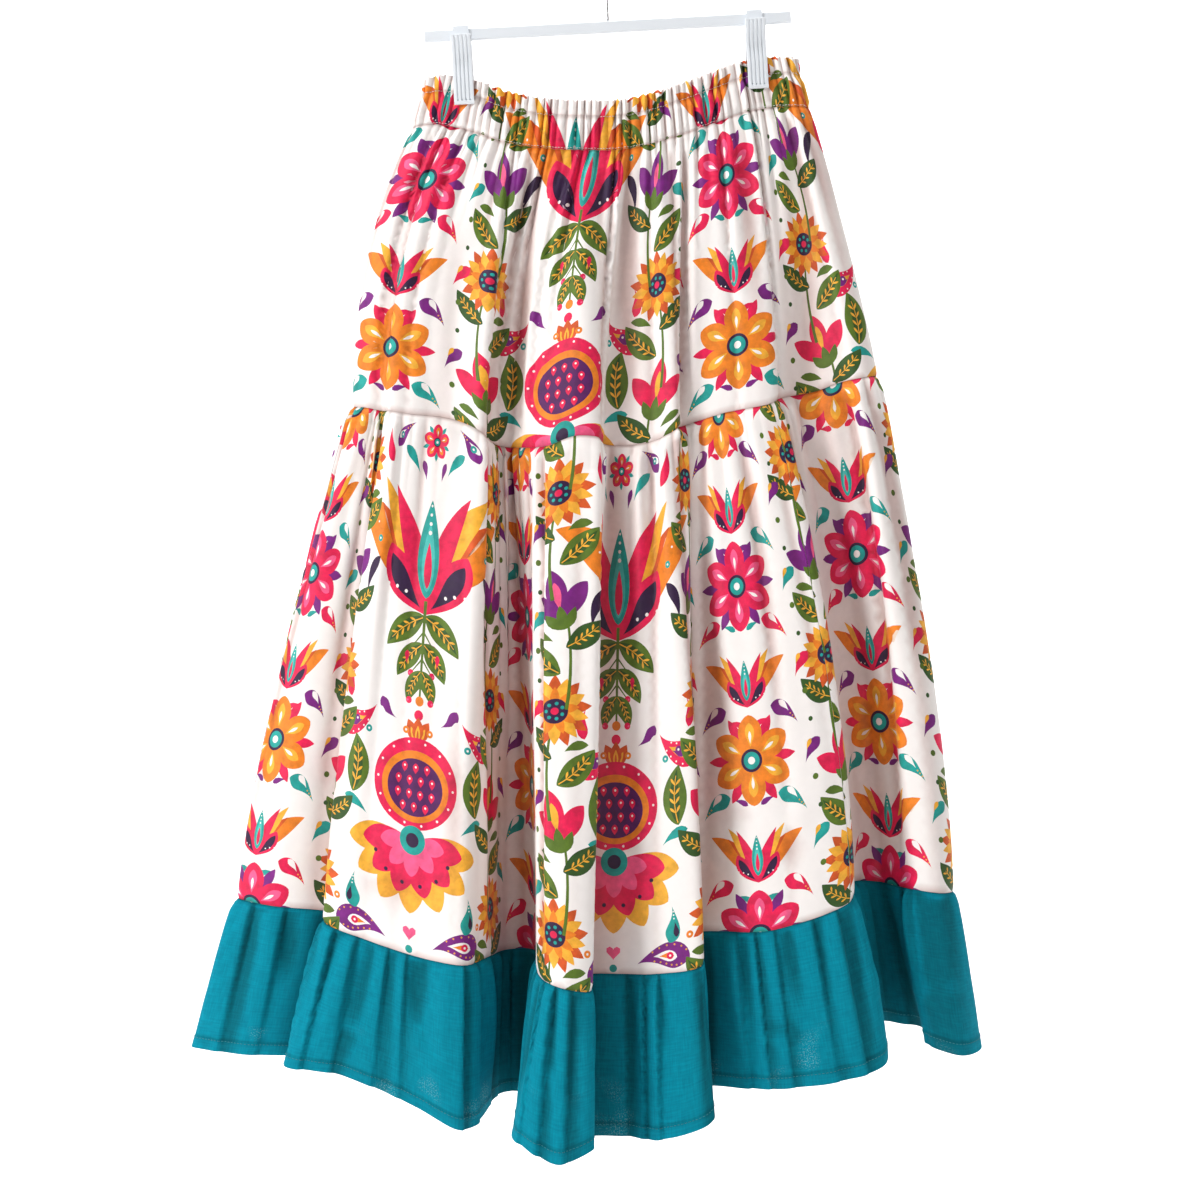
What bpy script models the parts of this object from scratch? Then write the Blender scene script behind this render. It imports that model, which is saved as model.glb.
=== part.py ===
"""A tiered dance skirt with an elastic waist, hung from a clip hanger.

Metres, +Z up, the front faces -Y. The origin is the seat of the hanger's hook, where it
lies on a rod. Each cloth piece is a thin closed wall that follows the same four rings:
the waist, seam 1, seam 2 and the hem.
"""
import math
from collections import namedtuple

import bmesh
import bpy
import numpy as np
from mathutils import Vector

MM = 0.001

# Cloth sizes
GAP = 0.3 * MM                 # space left between two pieces at a seam
CASING_WALL = 1.6 * MM         # folded double cloth with the elastic inside
CLOTH_WALL = 1.4 * MM
FRILL_HEIGHT = 14 * MM         # above the upper stitch row of the waist casing
CHANNEL_HEIGHT = 30 * MM       # the elastic's channel, between the two stitch rows
CASING_HEIGHT = FRILL_HEIGHT + CHANNEL_HEIGHT

# Columns of points round the skirt, the same on every piece so that seams meet
HALF_COLUMNS = 96              # from side to side, on the front and again on the back
COLUMNS = 2 * HALF_COLUMNS
JOIN_COLUMN = 79               # where tier 2's joining seam runs, on fold H of the front

# Hanger sizes, in the hanger's own upright frame
HANGER_TILT = math.radians(3.1)
WIRE_RADIUS = 1.75 * MM
HOOK_INNER_RADIUS = 17 * MM
RAIL_HALF_LENGTH = 165 * MM
RAIL_TOP = -72 * MM
HOOK_STEM_END = RAIL_TOP + GAP
RAIL_HEIGHT = 11 * MM
RAIL_THICKNESS = 5 * MM
CLIP_OFFSET = 132 * MM         # from the hook's line to a clip's middle
CLIP_WIDTH = 18 * MM
JAW_THICKNESS = 2.6 * MM
JAW_BOTTOM = -142 * MM
JAW_TOP = -80 * MM
JAW_SEAT = 6.8 * MM            # inner face of a jaw, from the plane between the jaws
PIVOT_HEIGHT = -101 * MM
PIVOT_RADIUS = 3.4 * MM

# The waist, in millimetres: top edge height and half the space between front and back
WaistRow = namedtuple("WaistRow", "x top half_gap")
WAIST = (
    WaistRow(-153, -123, 4.2),
    WaistRow(-145, -122, 4.8),
    WaistRow(-136, -122, 3.8),
    WaistRow(-116, -126, 3.8),
    WaistRow(-104, -130, 5.6),
    WaistRow(-88, -137, 8.0),
    WaistRow(-60, -143, 9.6),
    WaistRow(-20, -146, 10.4),
    WaistRow(20, -145, 10.0),
    WaistRow(48, -138, 9.2),
    WaistRow(74, -129, 8.2),
    WaistRow(102, -118, 6.6),
    WaistRow(117, -112, 5.2),
    WaistRow(128, -109, 3.8),
    WaistRow(148, -106, 3.8),
    WaistRow(160, -106, 5.0),
    WaistRow(168, -106, 4.2),
)
WAIST_LEFT_END = (-159, -124)  # x and top edge height where the front turns to the back
WAIST_RIGHT_END = (174, -107)
WAIST_MIDDLE = 9               # x of the waist's middle
CASING_SPREAD = 1.07           # the lower stitch row's width over the top edge's

# The fold lines, in millimetres, in order round the skirt: where each one crosses
# seam 1, seam 2 and the hem. Columns are x, y and z at each of the three.
Fold = namedtuple("Fold", "name x1 y1 z1 x2 y2 z2 x3 y3 z3")
FRONT_FOLDS = (
    Fold("left side", -225, 2, -419, -329, 2, -862, -369, 4, -996),
    Fold("left panel", -211, -10, -421, -297, -15, -866, -324, -17, -998),
    Fold("under A", -196, -10, -424, -238, -13, -873, -264, -13, -1001),
    Fold("A", -192, -18, -424, -247, -35, -877, -280, -40, -1003),
    Fold("left of panel 2", -173, -19, -427, -205, -48, -892, -226, -50, -1010),
    Fold("middle of panel 2", -137, -15, -431, -158, -58, -905, -161, -66, -1033),
    Fold("B", -109, -23, -443, -122, -67, -910, -122, -77, -1050),
    Fold("inside B", -98, -7, -452, -100, -20, -910, -101, -14, -1043),
    Fold("deep valley", -89, 3, -455, -86, 20, -911, -88, 31, -1042),
    Fold("C", -78, -2, -456, -64, 4, -908, -66, 18, -1043),
    Fold("D", -50, -24, -456, -53, -82, -919, -75, -100, -1050),
    Fold("middle of panel 3", -25, -34, -448, -31, -98, -925, -38, -122, -1067),
    Fold("E", -3, -29, -449, -10, -89, -928, -9, -112, -1057),
    Fold("under E", 1, -17, -454, -15, -52, -921, -14, -70, -1057),
    Fold("F", 22, -13, -455, 16, -47, -921, 15, -64, -1058),
    Fold("middle of panel 4", 45, -17, -451, 48, -57, -919, 50, -77, -1058),
    Fold("G", 66, -25, -441, 87, -64, -910, 96, -84, -1040),
    Fold("under G", 70, -11, -438, 80, -25, -890, 85, -35, -1024),
    Fold("middle of panel 5", 108, -15, -426, 147, -41, -884, 163, -53, -1020),
    Fold("H", 150, -19, -418, 218, -36, -860, 246, -46, -1002),
    Fold("under H", 160, -7, -412, 224, 4, -848, 248, 18, -978),
    Fold("right valley", 191, 5, -405, 252, 32, -851, 276, 56, -986),
    Fold("I", 214, -3, -397, 268, 14, -853, 297, 30, -986),
    Fold("edge of panel 7", 226, -9, -395, 280, -6, -853, 294, -12, -993),
    Fold("middle of panel 7", 238, -8, -393, 299, -14, -855, 318, -24, -998),
)
BACK_FOLDS = (
    Fold("right side", 247, 4, -391, 316, 4, -856, 340, 5, -997),
    Fold("K", 238, 18, -394, 304, 34, -852, 330, 48, -988),
    Fold("L", 217, 31, -399, 274, 74, -850, 296, 102, -980),
    Fold("inside L", 192, 22, -405, 240, 62, -854, 254, 88, -982),
    Fold("M", 164, 36, -413, 203, 93, -872, 212, 126, -1010),
    Fold("inside M", 134, 23, -421, 162, 60, -885, 174, 84, -1030),
    Fold("N", 100, 38, -431, 117, 99, -897, 120, 134, -1044),
    Fold("inside N", 62, 22, -440, 74, 56, -903, 82, 78, -1048),
    Fold("O", 27, 35, -447, 30, 90, -912, 30, 120, -1055),
    Fold("inside O", -10, 21, -450, -13, 53, -914, -10, 72, -1056),
    Fold("P", -49, 38, -450, -58, 97, -914, -64, 130, -1058),
    Fold("inside P", -85, 23, -446, -98, 60, -908, -102, 82, -1050),
    Fold("Q", -120, 35, -439, -146, 88, -900, -158, 118, -1042),
    Fold("inside Q", -153, 21, -432, -188, 51, -890, -206, 70, -1027),
    Fold("R", -184, 31, -426, -238, 74, -880, -264, 98, -1014),
    Fold("inside R", -207, 19, -422, -282, 46, -870, -314, 62, -1003),
    Fold("S", -220, 13, -420, -317, 24, -864, -355, 34, -998),
)
FOLDS = FRONT_FOLDS + BACK_FOLDS
JOIN_FOLD = 19                 # fold H, the nineteenth after the left side
RIGHT_SIDE_FOLD = len(FRONT_FOLDS)

# Levels of points down each piece, in millimetres below its upper seam: the swell of
# the wall outwards, and the height of its gathers two and four columns wide
Level = namedtuple("Level", "down swell fine coarse")
CASING_LEVELS = (
    Level(0, 1.2, 1.8, 0.0),
    Level(14, 0.0, 1.0, 0.0),
    Level(29, 0.9, 1.5, 0.0),
    Level(44, 0.0, 1.0, 0.0),
)
TIER_1_LEVELS = (
    Level(0, 0.0, 1.0, 0.0),
    Level(14, 1.5, 1.0, 1.6),
    Level(60, 2.0, 0.0, 2.6),
    Level(150, 0.0, 0.0, 1.6),
    Level(265, 0.0, 0.0, 0.0),
)
TIER_2_LEVELS = (
    Level(0, 0.0, 0.0, 0.0),
    Level(14, 1.5, 0.0, 3.2),
    Level(70, 1.0, 0.0, 3.4),
    Level(170, 0.0, 0.0, 2.0),
    Level(310, 0.0, 0.0, 0.8),
    Level(462, 0.0, 0.0, 0.0),
)
RUFFLE_LEVELS = (
    Level(0, 0.0, 0.0, 0.0),
    Level(12, 1.5, 0.0, 2.6),
    Level(70, 1.5, 0.0, 3.8),
    Level(138, 0.0, 0.0, 2.4),
)

# How quickly a tier spreads below its upper seam, at its left and its right side:
# 1 is a straight cone, and more spreads sooner
CASING_FLARE = (0.8, 0.6)
TIER_1_FLARE = (2.3, 1.15)
TIER_2_FLARE = (1.3, 1.5)
RUFFLE_FLARE = (0.8, 1.0)

# Colours and finish
PRINT_WHITE = (0.86, 0.83, 0.80, 1.0)
TEAL = (0.005, 0.29, 0.37, 1.0)
CLIP_WHITE = (0.80, 0.83, 0.86, 1.0)
STEEL = (0.62, 0.62, 0.64, 1.0)


def clear_scene():
    for item in list(bpy.data.objects):
        bpy.data.objects.remove(item, do_unlink=True)


def make_material(name, colour, roughness, metallic=0.0):
    material = bpy.data.materials.new(name)
    material.use_nodes = True
    shader = material.node_tree.nodes["Principled BSDF"]
    shader.inputs["Base Color"].default_value = colour
    shader.inputs["Roughness"].default_value = roughness
    shader.inputs["Metallic"].default_value = metallic
    return material


def add_object(name, mesh, material):
    thing = bpy.data.objects.new(name, mesh)
    mesh.materials.append(material)
    bpy.context.scene.collection.objects.link(thing)
    return thing


# Curves

def smooth_ring(points, place):
    """The closed smooth curve through the points, read at each place along them."""
    count = len(points)
    first = np.floor(place).astype(int)
    part = (place - first)[:, None]
    p0, p1, p2, p3 = [points[(first + step) % count] for step in (-1, 0, 1, 2)]

    def knot(a, b):
        return np.linalg.norm((b - a)[:, :2], axis=1)[:, None] ** 0.5

    t1 = knot(p0, p1)
    t2 = t1 + knot(p1, p2)
    t3 = t2 + knot(p2, p3)
    t = t1 + part * (t2 - t1)
    a1 = p0 + (p1 - p0) * t / t1
    a2 = p1 + (p2 - p1) * (t - t1) / (t2 - t1)
    a3 = p2 + (p3 - p2) * (t - t2) / (t3 - t2)
    b1 = a1 + (a2 - a1) * t / t2
    b2 = a2 + (a3 - a2) * (t - t1) / (t3 - t1)
    return b1 + (b2 - b1) * (t - t1) / (t2 - t1)


def length_share(points, place):
    """How far round a ring each place lies, as a share of the ring's length."""
    line = smooth_ring(points, place)
    steps = np.linalg.norm(np.diff(line[:, :2], axis=0), axis=1)
    travelled = np.concatenate(([0.0], np.cumsum(steps)))
    return travelled / travelled[-1]


def even_places(share, place, anchors):
    """Places that are evenly spaced between the anchors, pairs of column and place."""
    columns = []
    for (column_a, place_a), (column_b, place_b) in zip(anchors, anchors[1:]):
        share_a, share_b = np.interp((place_a, place_b), place, share)
        steps = column_b - column_a
        wanted = share_a + (share_b - share_a) * np.arange(steps) / steps
        columns.append(np.interp(wanted, share, place))
    return np.concatenate(columns)


def fold_points(level):
    """Where every fold line crosses seam 1, seam 2 or the hem (level 1, 2 or 3)."""
    rows = [(fold[3 * level - 2], fold[3 * level - 1], fold[3 * level]) for fold in FOLDS]
    return np.array(rows, dtype=float) * MM


def seam_rings():
    """Seam 1, seam 2 and the hem, each with one point for every column."""
    crossings = [fold_points(level) for level in (1, 2, 3)]
    fine = np.linspace(0, len(FOLDS), 32 * len(FOLDS) + 1)
    share = np.mean([length_share(points, fine) for points in crossings], axis=0)
    anchors = (
        (0, 0),
        (JOIN_COLUMN, JOIN_FOLD),
        (HALF_COLUMNS, RIGHT_SIDE_FOLD),
        (COLUMNS, len(FOLDS)),
    )
    place = even_places(share, fine, anchors)
    return [smooth_ring(points, place) for points in crossings]


def waist_ring():
    """The waist's top edge, with one point for every column."""
    front = [(row.x, -row.half_gap, row.top) for row in WAIST]
    back = [(row.x, row.half_gap, row.top) for row in reversed(WAIST)]
    left = [(WAIST_LEFT_END[0], 0, WAIST_LEFT_END[1])]
    right = [(WAIST_RIGHT_END[0], 0, WAIST_RIGHT_END[1])]
    points = np.array(left + front + right + back, dtype=float) * MM
    fine = np.linspace(0, len(points), 32 * len(points) + 1)
    share = length_share(points, fine)
    anchors = ((0, 0), (HALF_COLUMNS, len(WAIST) + 1), (COLUMNS, len(points)))
    return smooth_ring(points, even_places(share, fine, anchors))


def outward(ring):
    """The level direction that points out of the skirt at each of a ring's points."""
    along = np.roll(ring, -1, axis=0) - np.roll(ring, 1, axis=0)
    normal = np.stack((along[:, 1], -along[:, 0], np.zeros(len(ring))), axis=1)
    return normal / np.linalg.norm(normal, axis=1)[:, None]


# Cloth walls

def gather_heights(level):
    """Gathers two and four columns wide, each a little higher or lower than the next."""
    column = np.arange(COLUMNS)
    fine = np.cos(math.pi * column)
    coarse = np.cos(math.pi * column / 2)
    uneven = 1 + 0.35 * np.sin(1.7 * np.floor(column / 4 + 0.5))
    return level.fine * fine + level.coarse * coarse * uneven


def clip_grip(ring):
    """How much of the gathers' height is left under each clip's jaws."""
    left = CLIP_OFFSET * -math.cos(HANGER_TILT) + 7 * MM
    right = CLIP_OFFSET * math.cos(HANGER_TILT) + 7 * MM
    nearest = np.minimum(abs(ring[:, 0] - left), abs(ring[:, 0] - right))
    return 1 - 0.5 * np.exp(-(nearest / (13 * MM)) ** 6)


def tier_faces(upper, lower, levels, flare, wall, gripped=False):
    """The outer and inner points of a tier: level by level, one for each column."""
    drop = levels[-1].down
    sideways = np.clip(lower[:, :1] / np.abs(lower[:, 0]).max(), -1, 1)
    side_flare = flare[0] + (flare[1] - flare[0]) * (1 + sideways) / 2
    outer = []
    inner = []
    for number, level in enumerate(levels):
        fall = level.down / drop
        if number == 0:
            fall = 0.5 * GAP / (drop * MM)
        if number == len(levels) - 1:
            fall = 1 - 0.5 * GAP / (drop * MM)
        spread = 1 - (1 - fall) ** side_flare
        ring = upper + (lower - upper) * spread
        ring[:, 2] = upper[:, 2] + (lower[:, 2] - upper[:, 2]) * fall
        height = level.swell + gather_heights(level)
        if gripped:
            height = height * clip_grip(ring)
        ring = ring + outward(ring) * (height * MM)[:, None]
        half = outward(ring) * (wall / 2)
        outer.append(ring + half)
        inner.append(ring - half)
    return np.array(outer), np.array(inner)


def nudge_ends(rows):
    """Draws a panel's two side edges in by half a seam's gap."""
    rows = rows.copy()
    for end, beside in ((0, 1), (-1, -2)):
        along = rows[:, beside] - rows[:, end]
        rows[:, end] += along / np.linalg.norm(along, axis=1)[:, None] * GAP / 2
    return rows


def panel_mesh(name, faces, columns):
    """One closed wall from some columns of a tier's outer and inner points."""
    outer, inner = [nudge_ends(side[:, columns]) for side in faces]
    levels, count = outer.shape[:2]
    mesh = bpy.data.meshes.new(name)
    shape = bmesh.new()
    out = [[shape.verts.new(point) for point in row] for row in outer]
    into = [[shape.verts.new(point) for point in row] for row in inner]
    for i in range(levels - 1):
        for j in range(count - 1):
            shape.faces.new((out[i][j], out[i + 1][j], out[i + 1][j + 1], out[i][j + 1]))
            shape.faces.new((into[i][j], into[i][j + 1], into[i + 1][j + 1], into[i + 1][j]))
        for j, k in ((0, 1), (count - 1, -1)):
            rim = (out[i][j], into[i][j], into[i + 1][j], out[i + 1][j])
            shape.faces.new(rim[::k])
    for j in range(count - 1):
        shape.faces.new((out[0][j], out[0][j + 1], into[0][j + 1], into[0][j]))
        shape.faces.new((out[-1][j], into[-1][j], into[-1][j + 1], out[-1][j + 1]))
    bmesh.ops.triangulate(shape, faces=shape.faces)
    shape.to_mesh(mesh)
    shape.free()
    mesh.shade_smooth()
    mesh.set_sharp_from_angle(angle=math.radians(50))
    return mesh


def build_skirt():
    printed = make_material("printed satin cotton", PRINT_WHITE, 0.55)
    gauze = make_material("teal cotton gauze", TEAL, 0.85)
    seam_1, seam_2, hem = seam_rings()
    top = waist_ring()
    casing_end = top - np.array((0, 0, CASING_HEIGHT))
    middle = WAIST_MIDDLE * MM
    casing_end[:, 0] = middle + (top[:, 0] - middle) * CASING_SPREAD
    casing = tier_faces(top, casing_end, CASING_LEVELS, CASING_FLARE, CASING_WALL, gripped=True)
    tier_1 = tier_faces(casing_end, seam_1, TIER_1_LEVELS, TIER_1_FLARE, CLOTH_WALL)
    tier_2 = tier_faces(seam_1, seam_2, TIER_2_LEVELS, TIER_2_FLARE, CLOTH_WALL)
    ruffle = tier_faces(seam_2, hem, RUFFLE_LEVELS, RUFFLE_FLARE, CLOTH_WALL)
    round_it = np.arange(COLUMNS + 1) % COLUMNS
    for name, faces, join, material in (
        ("waistband", casing, HALF_COLUMNS, printed),
        ("tier1", tier_1, HALF_COLUMNS, printed),
        ("tier2", tier_2, JOIN_COLUMN, printed),
        ("ruffle", ruffle, HALF_COLUMNS, gauze),
    ):
        for side, columns in (("front", round_it[:join + 1]), ("back", round_it[join:])):
            node = f"{name}_{side}"
            add_object(node, panel_mesh(node, faces, columns), material)


# Hanger

def extrude_outline(name, outline, width):
    """A closed outline of (y, z) points, extruded along X and centred on it."""
    mesh = bpy.data.meshes.new(name)
    shape = bmesh.new()
    verts = [shape.verts.new((-width / 2, y, z)) for y, z in outline]
    end = shape.faces.new(verts)
    grown = bmesh.ops.extrude_face_region(shape, geom=[end])
    moved = [item for item in grown["geom"] if isinstance(item, bmesh.types.BMVert)]
    bmesh.ops.translate(shape, verts=moved, vec=(width, 0, 0))
    bmesh.ops.recalc_face_normals(shape, faces=shape.faces)
    shape.to_mesh(mesh)
    shape.free()
    mesh.shade_smooth()
    mesh.set_sharp_from_angle(angle=math.radians(35))
    return mesh


def jaw_outline(side):
    """A jaw seen from its end: finger tab, waist at the pivot, and lip at the cloth."""
    seat = JAW_SEAT
    pivot = PIVOT_RADIUS + GAP
    inner = (
        (seat + 4.5 * MM, JAW_TOP),
        (pivot + 1.5 * MM, PIVOT_HEIGHT + 8 * MM),
        (pivot, PIVOT_HEIGHT + 2 * MM),
        (pivot, PIVOT_HEIGHT - 2 * MM),
        (seat + 0.6 * MM, PIVOT_HEIGHT - 14 * MM),
        (seat, JAW_BOTTOM + 8 * MM),
        (seat, JAW_BOTTOM + 1 * MM),
        (seat + 0.8 * MM, JAW_BOTTOM),
    )
    outer = [(y + JAW_THICKNESS, z) for y, z in inner[:-2]]
    outer.append((seat + JAW_THICKNESS + 0.5 * MM, JAW_BOTTOM + 2.5 * MM))
    outer.append((seat + JAW_THICKNESS - 0.4 * MM, JAW_BOTTOM))
    return [(side * y, z) for y, z in list(inner) + outer[::-1]]


def saddle_outline():
    """A clip's saddle, wrapped over the rail, with the round pivot at its lower end."""
    clear = GAP
    inner_y = RAIL_THICKNESS / 2 + clear
    outer_y = inner_y + 1.4 * MM
    crown = RAIL_TOP + clear
    left = [(-inner_y, RAIL_TOP - RAIL_HEIGHT - clear), (-inner_y, crown), (inner_y, crown)]
    hook_end = [(inner_y, RAIL_TOP - 4 * MM), (outer_y, RAIL_TOP - 4 * MM)]
    over = [(outer_y, crown + 1.4 * MM), (-outer_y, crown + 1.4 * MM)]
    neck = [(-outer_y, PIVOT_HEIGHT + 6.5 * MM)]
    pivot = []
    for step in range(9):
        angle = math.radians(150 + step * 240 / 8)
        pivot.append((PIVOT_RADIUS * math.cos(angle), PIVOT_HEIGHT + PIVOT_RADIUS * math.sin(angle)))
    foot = [(inner_y, RAIL_TOP - RAIL_HEIGHT - clear)]
    return left + hook_end + over + neck + pivot + foot


def hook_centreline():
    """The hook's wire: up the stem, out, and over the arch to its open end."""
    radius = HOOK_INNER_RADIUS + WIRE_RADIUS
    middle = -HOOK_INNER_RADIUS
    points = [Vector((0, 0, HOOK_STEM_END + step * 6 * MM)) for step in range(4)]
    points.append(Vector((1.5 * MM, 0, middle - 29 * MM)))
    points.append(Vector((6.5 * MM, 0, middle - 22 * MM)))
    points.append(Vector((12.5 * MM, 0, middle - 15 * MM)))
    for step in range(15):
        angle = math.radians(-20 + step * 220 / 14)
        points.append(Vector((radius * math.cos(angle), 0, middle + radius * math.sin(angle))))
    return points


def build_hanger():
    plastic = make_material("white moulded plastic", CLIP_WHITE, 0.32)
    steel = make_material("bright steel wire", STEEL, 0.22, 1.0)
    frame = bpy.data.objects.new("hanger_frame", None)
    frame.rotation_euler = (0, -HANGER_TILT, 0)
    bpy.context.scene.collection.objects.link(frame)

    half = RAIL_THICKNESS / 2
    bevel = 1.2 * MM
    low = RAIL_TOP - RAIL_HEIGHT
    section = []
    for y, z, turn in ((-half, low, 1), (half, low, -1), (half, RAIL_TOP, 1), (-half, RAIL_TOP, -1)):
        inward_y = math.copysign(bevel, -y)
        inward_z = bevel if z == low else -bevel
        corner = [(y, z + inward_z), (y + inward_y, z)]
        section += corner[::turn]
    rail = add_object("hanger_rail", extrude_outline("hanger_rail", section, 2 * RAIL_HALF_LENGTH), plastic)
    rail.parent = frame

    curve = bpy.data.curves.new("hanger_hook", "CURVE")
    curve.dimensions = "3D"
    curve.bevel_depth = WIRE_RADIUS
    curve.bevel_resolution = 2
    curve.use_fill_caps = True
    route = hook_centreline()
    spline = curve.splines.new("POLY")
    spline.points.add(len(route) - 1)
    for point, place in zip(spline.points, route):
        point.co = (*place, 1)
    hook = bpy.data.objects.new("hanger_hook", curve)
    curve.materials.append(steel)
    bpy.context.scene.collection.objects.link(hook)
    hook.parent = frame

    for name, offset in (("left", -CLIP_OFFSET), ("right", CLIP_OFFSET)):
        saddle = extrude_outline(f"clip_{name}_saddle", saddle_outline(), CLIP_WIDTH - 4 * MM)
        front = extrude_outline(f"clip_{name}_front_jaw", jaw_outline(-1), CLIP_WIDTH)
        back = extrude_outline(f"clip_{name}_back_jaw", jaw_outline(1), CLIP_WIDTH)
        for mesh in (saddle, front, back):
            piece = add_object(mesh.name, mesh, plastic)
            piece.parent = frame
            piece.location.x = offset


def main():
    clear_scene()
    build_skirt()
    build_hanger()


main()
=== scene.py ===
"""Looks of a tiered dance skirt on a clip hanger, in printed cotton with a teal gauze ruffle.

Metres, +Z up, the front faces -Y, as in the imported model. Every cloth piece is a thin shell
on the form that its solid has. A point of the cloth is named by its column (0 to 192, once
round the skirt from the left side) and by how far down its tier it lies, in millimetres.
"""

import math
from collections import namedtuple

import bmesh
import bpy
import numpy as np
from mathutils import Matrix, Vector, kdtree
from mathutils.geometry import delaunay_2d_cdt


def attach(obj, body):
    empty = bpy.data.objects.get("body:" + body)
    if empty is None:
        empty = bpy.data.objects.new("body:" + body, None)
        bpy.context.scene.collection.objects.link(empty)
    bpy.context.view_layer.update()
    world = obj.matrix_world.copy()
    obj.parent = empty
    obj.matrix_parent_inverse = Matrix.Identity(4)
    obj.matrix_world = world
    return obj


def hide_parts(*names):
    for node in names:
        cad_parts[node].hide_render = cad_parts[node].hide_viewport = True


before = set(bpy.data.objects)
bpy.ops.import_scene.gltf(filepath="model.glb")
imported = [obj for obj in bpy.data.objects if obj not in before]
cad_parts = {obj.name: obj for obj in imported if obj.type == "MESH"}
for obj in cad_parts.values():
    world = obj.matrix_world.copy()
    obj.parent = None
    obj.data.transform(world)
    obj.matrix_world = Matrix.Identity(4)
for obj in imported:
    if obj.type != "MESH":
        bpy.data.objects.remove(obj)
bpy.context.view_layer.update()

MM = 0.001

# Cloth sizes, in millimetres
CASING_HEIGHT = 44.0           # from the frill's edge to the lower stitch row
FRILL_HEIGHT = 14.0            # from the edge to the upper stitch row
TIER_1_DROP = 265.0
TIER_2_DROP = 462.0
RUFFLE_DROP = 138.0
HEM_TURN = 11.0                # the ruffle's turned hem
FRILL_DIP = 2.2                # how far the frill's edge dips between its gathers
CLOTH = 0.5                    # thickness of the shells
HEM_CLOTH = 1.2                # thickness where the hem is turned twice
INNER_CLEARANCE = 0.45         # how much further in the inner sheet lies, away from its edges
INNER_EDGE = 3.0               # over how wide an edge it comes in so far
SEAM_GAP = 0.3                 # between two pieces

# Stitches, in millimetres: from one to the next, and how long each shows
Stitch = namedtuple("Stitch", "pitch length")
WAIST_STITCH = Stitch(2.7, 2.1)
HEM_STITCH = Stitch(3.3, 2.4)
STITCH_SHARES = (-0.5, -0.3, 0.0, 0.3, 0.5)     # the places along a thread that shape it
LOWER_ROW_LIFT = 1.4           # how far above the casing's foot its lower row is sewn
HEM_ROW_DROP = 1.2             # how far below the turned hem's upper edge its row is sewn
THREAD_RADIUS = 0.28
THREAD_SIDES = 6

# Columns round the skirt, from its left side
COLUMNS = 192
HALF_COLUMNS = 96
JOIN_COLUMN = 79               # tier 2's joining seam
END_COLUMNS = 6                # over how many columns the gathers fade at the two sides

# Hanger sizes, in the hanger's own upright frame
HANGER_TILT = math.radians(3.1)
CLIP_OFFSET = 132 * MM
CLIP_WIDTH = 18 * MM
JAW_THICKNESS = 2.6 * MM
JAW_BOTTOM = -142 * MM
JAW_TOP = -80 * MM
JAW_SEAT = 6.8 * MM
PIVOT_HEIGHT = -101 * MM
PIVOT_RADIUS = 3.4 * MM
GROOVE_DEPTH = 0.8             # millimetres, between the ribs of a jaw
PIT_DEPTH = 1.9
JAW_RIBS = 5

# The waist, in millimetres: top edge height and half the space between front and back
WaistRow = namedtuple("WaistRow", "x top half_gap")
WAIST = (
    WaistRow(-153, -123, 4.2),
    WaistRow(-145, -122, 4.8),
    WaistRow(-136, -122, 3.8),
    WaistRow(-116, -126, 3.8),
    WaistRow(-104, -130, 5.6),
    WaistRow(-88, -137, 8.0),
    WaistRow(-60, -143, 9.6),
    WaistRow(-20, -146, 10.4),
    WaistRow(20, -145, 10.0),
    WaistRow(48, -138, 9.2),
    WaistRow(74, -129, 8.2),
    WaistRow(102, -118, 6.6),
    WaistRow(117, -112, 5.2),
    WaistRow(128, -109, 3.8),
    WaistRow(148, -106, 3.8),
    WaistRow(160, -106, 5.0),
    WaistRow(168, -106, 4.2),
)
WAIST_LEFT_END = (-159, -124)
WAIST_RIGHT_END = (174, -107)
WAIST_MIDDLE = 9
CASING_SPREAD = 1.07
GRIP_MIDDLE = 7                # half way between the clips, at the waist
GRIP_REACH = 13                # how far to each side of its middle a clip flattens the cloth
GRIP_LOSS = 0.62               # how much of the gathers' height it takes there

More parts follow.
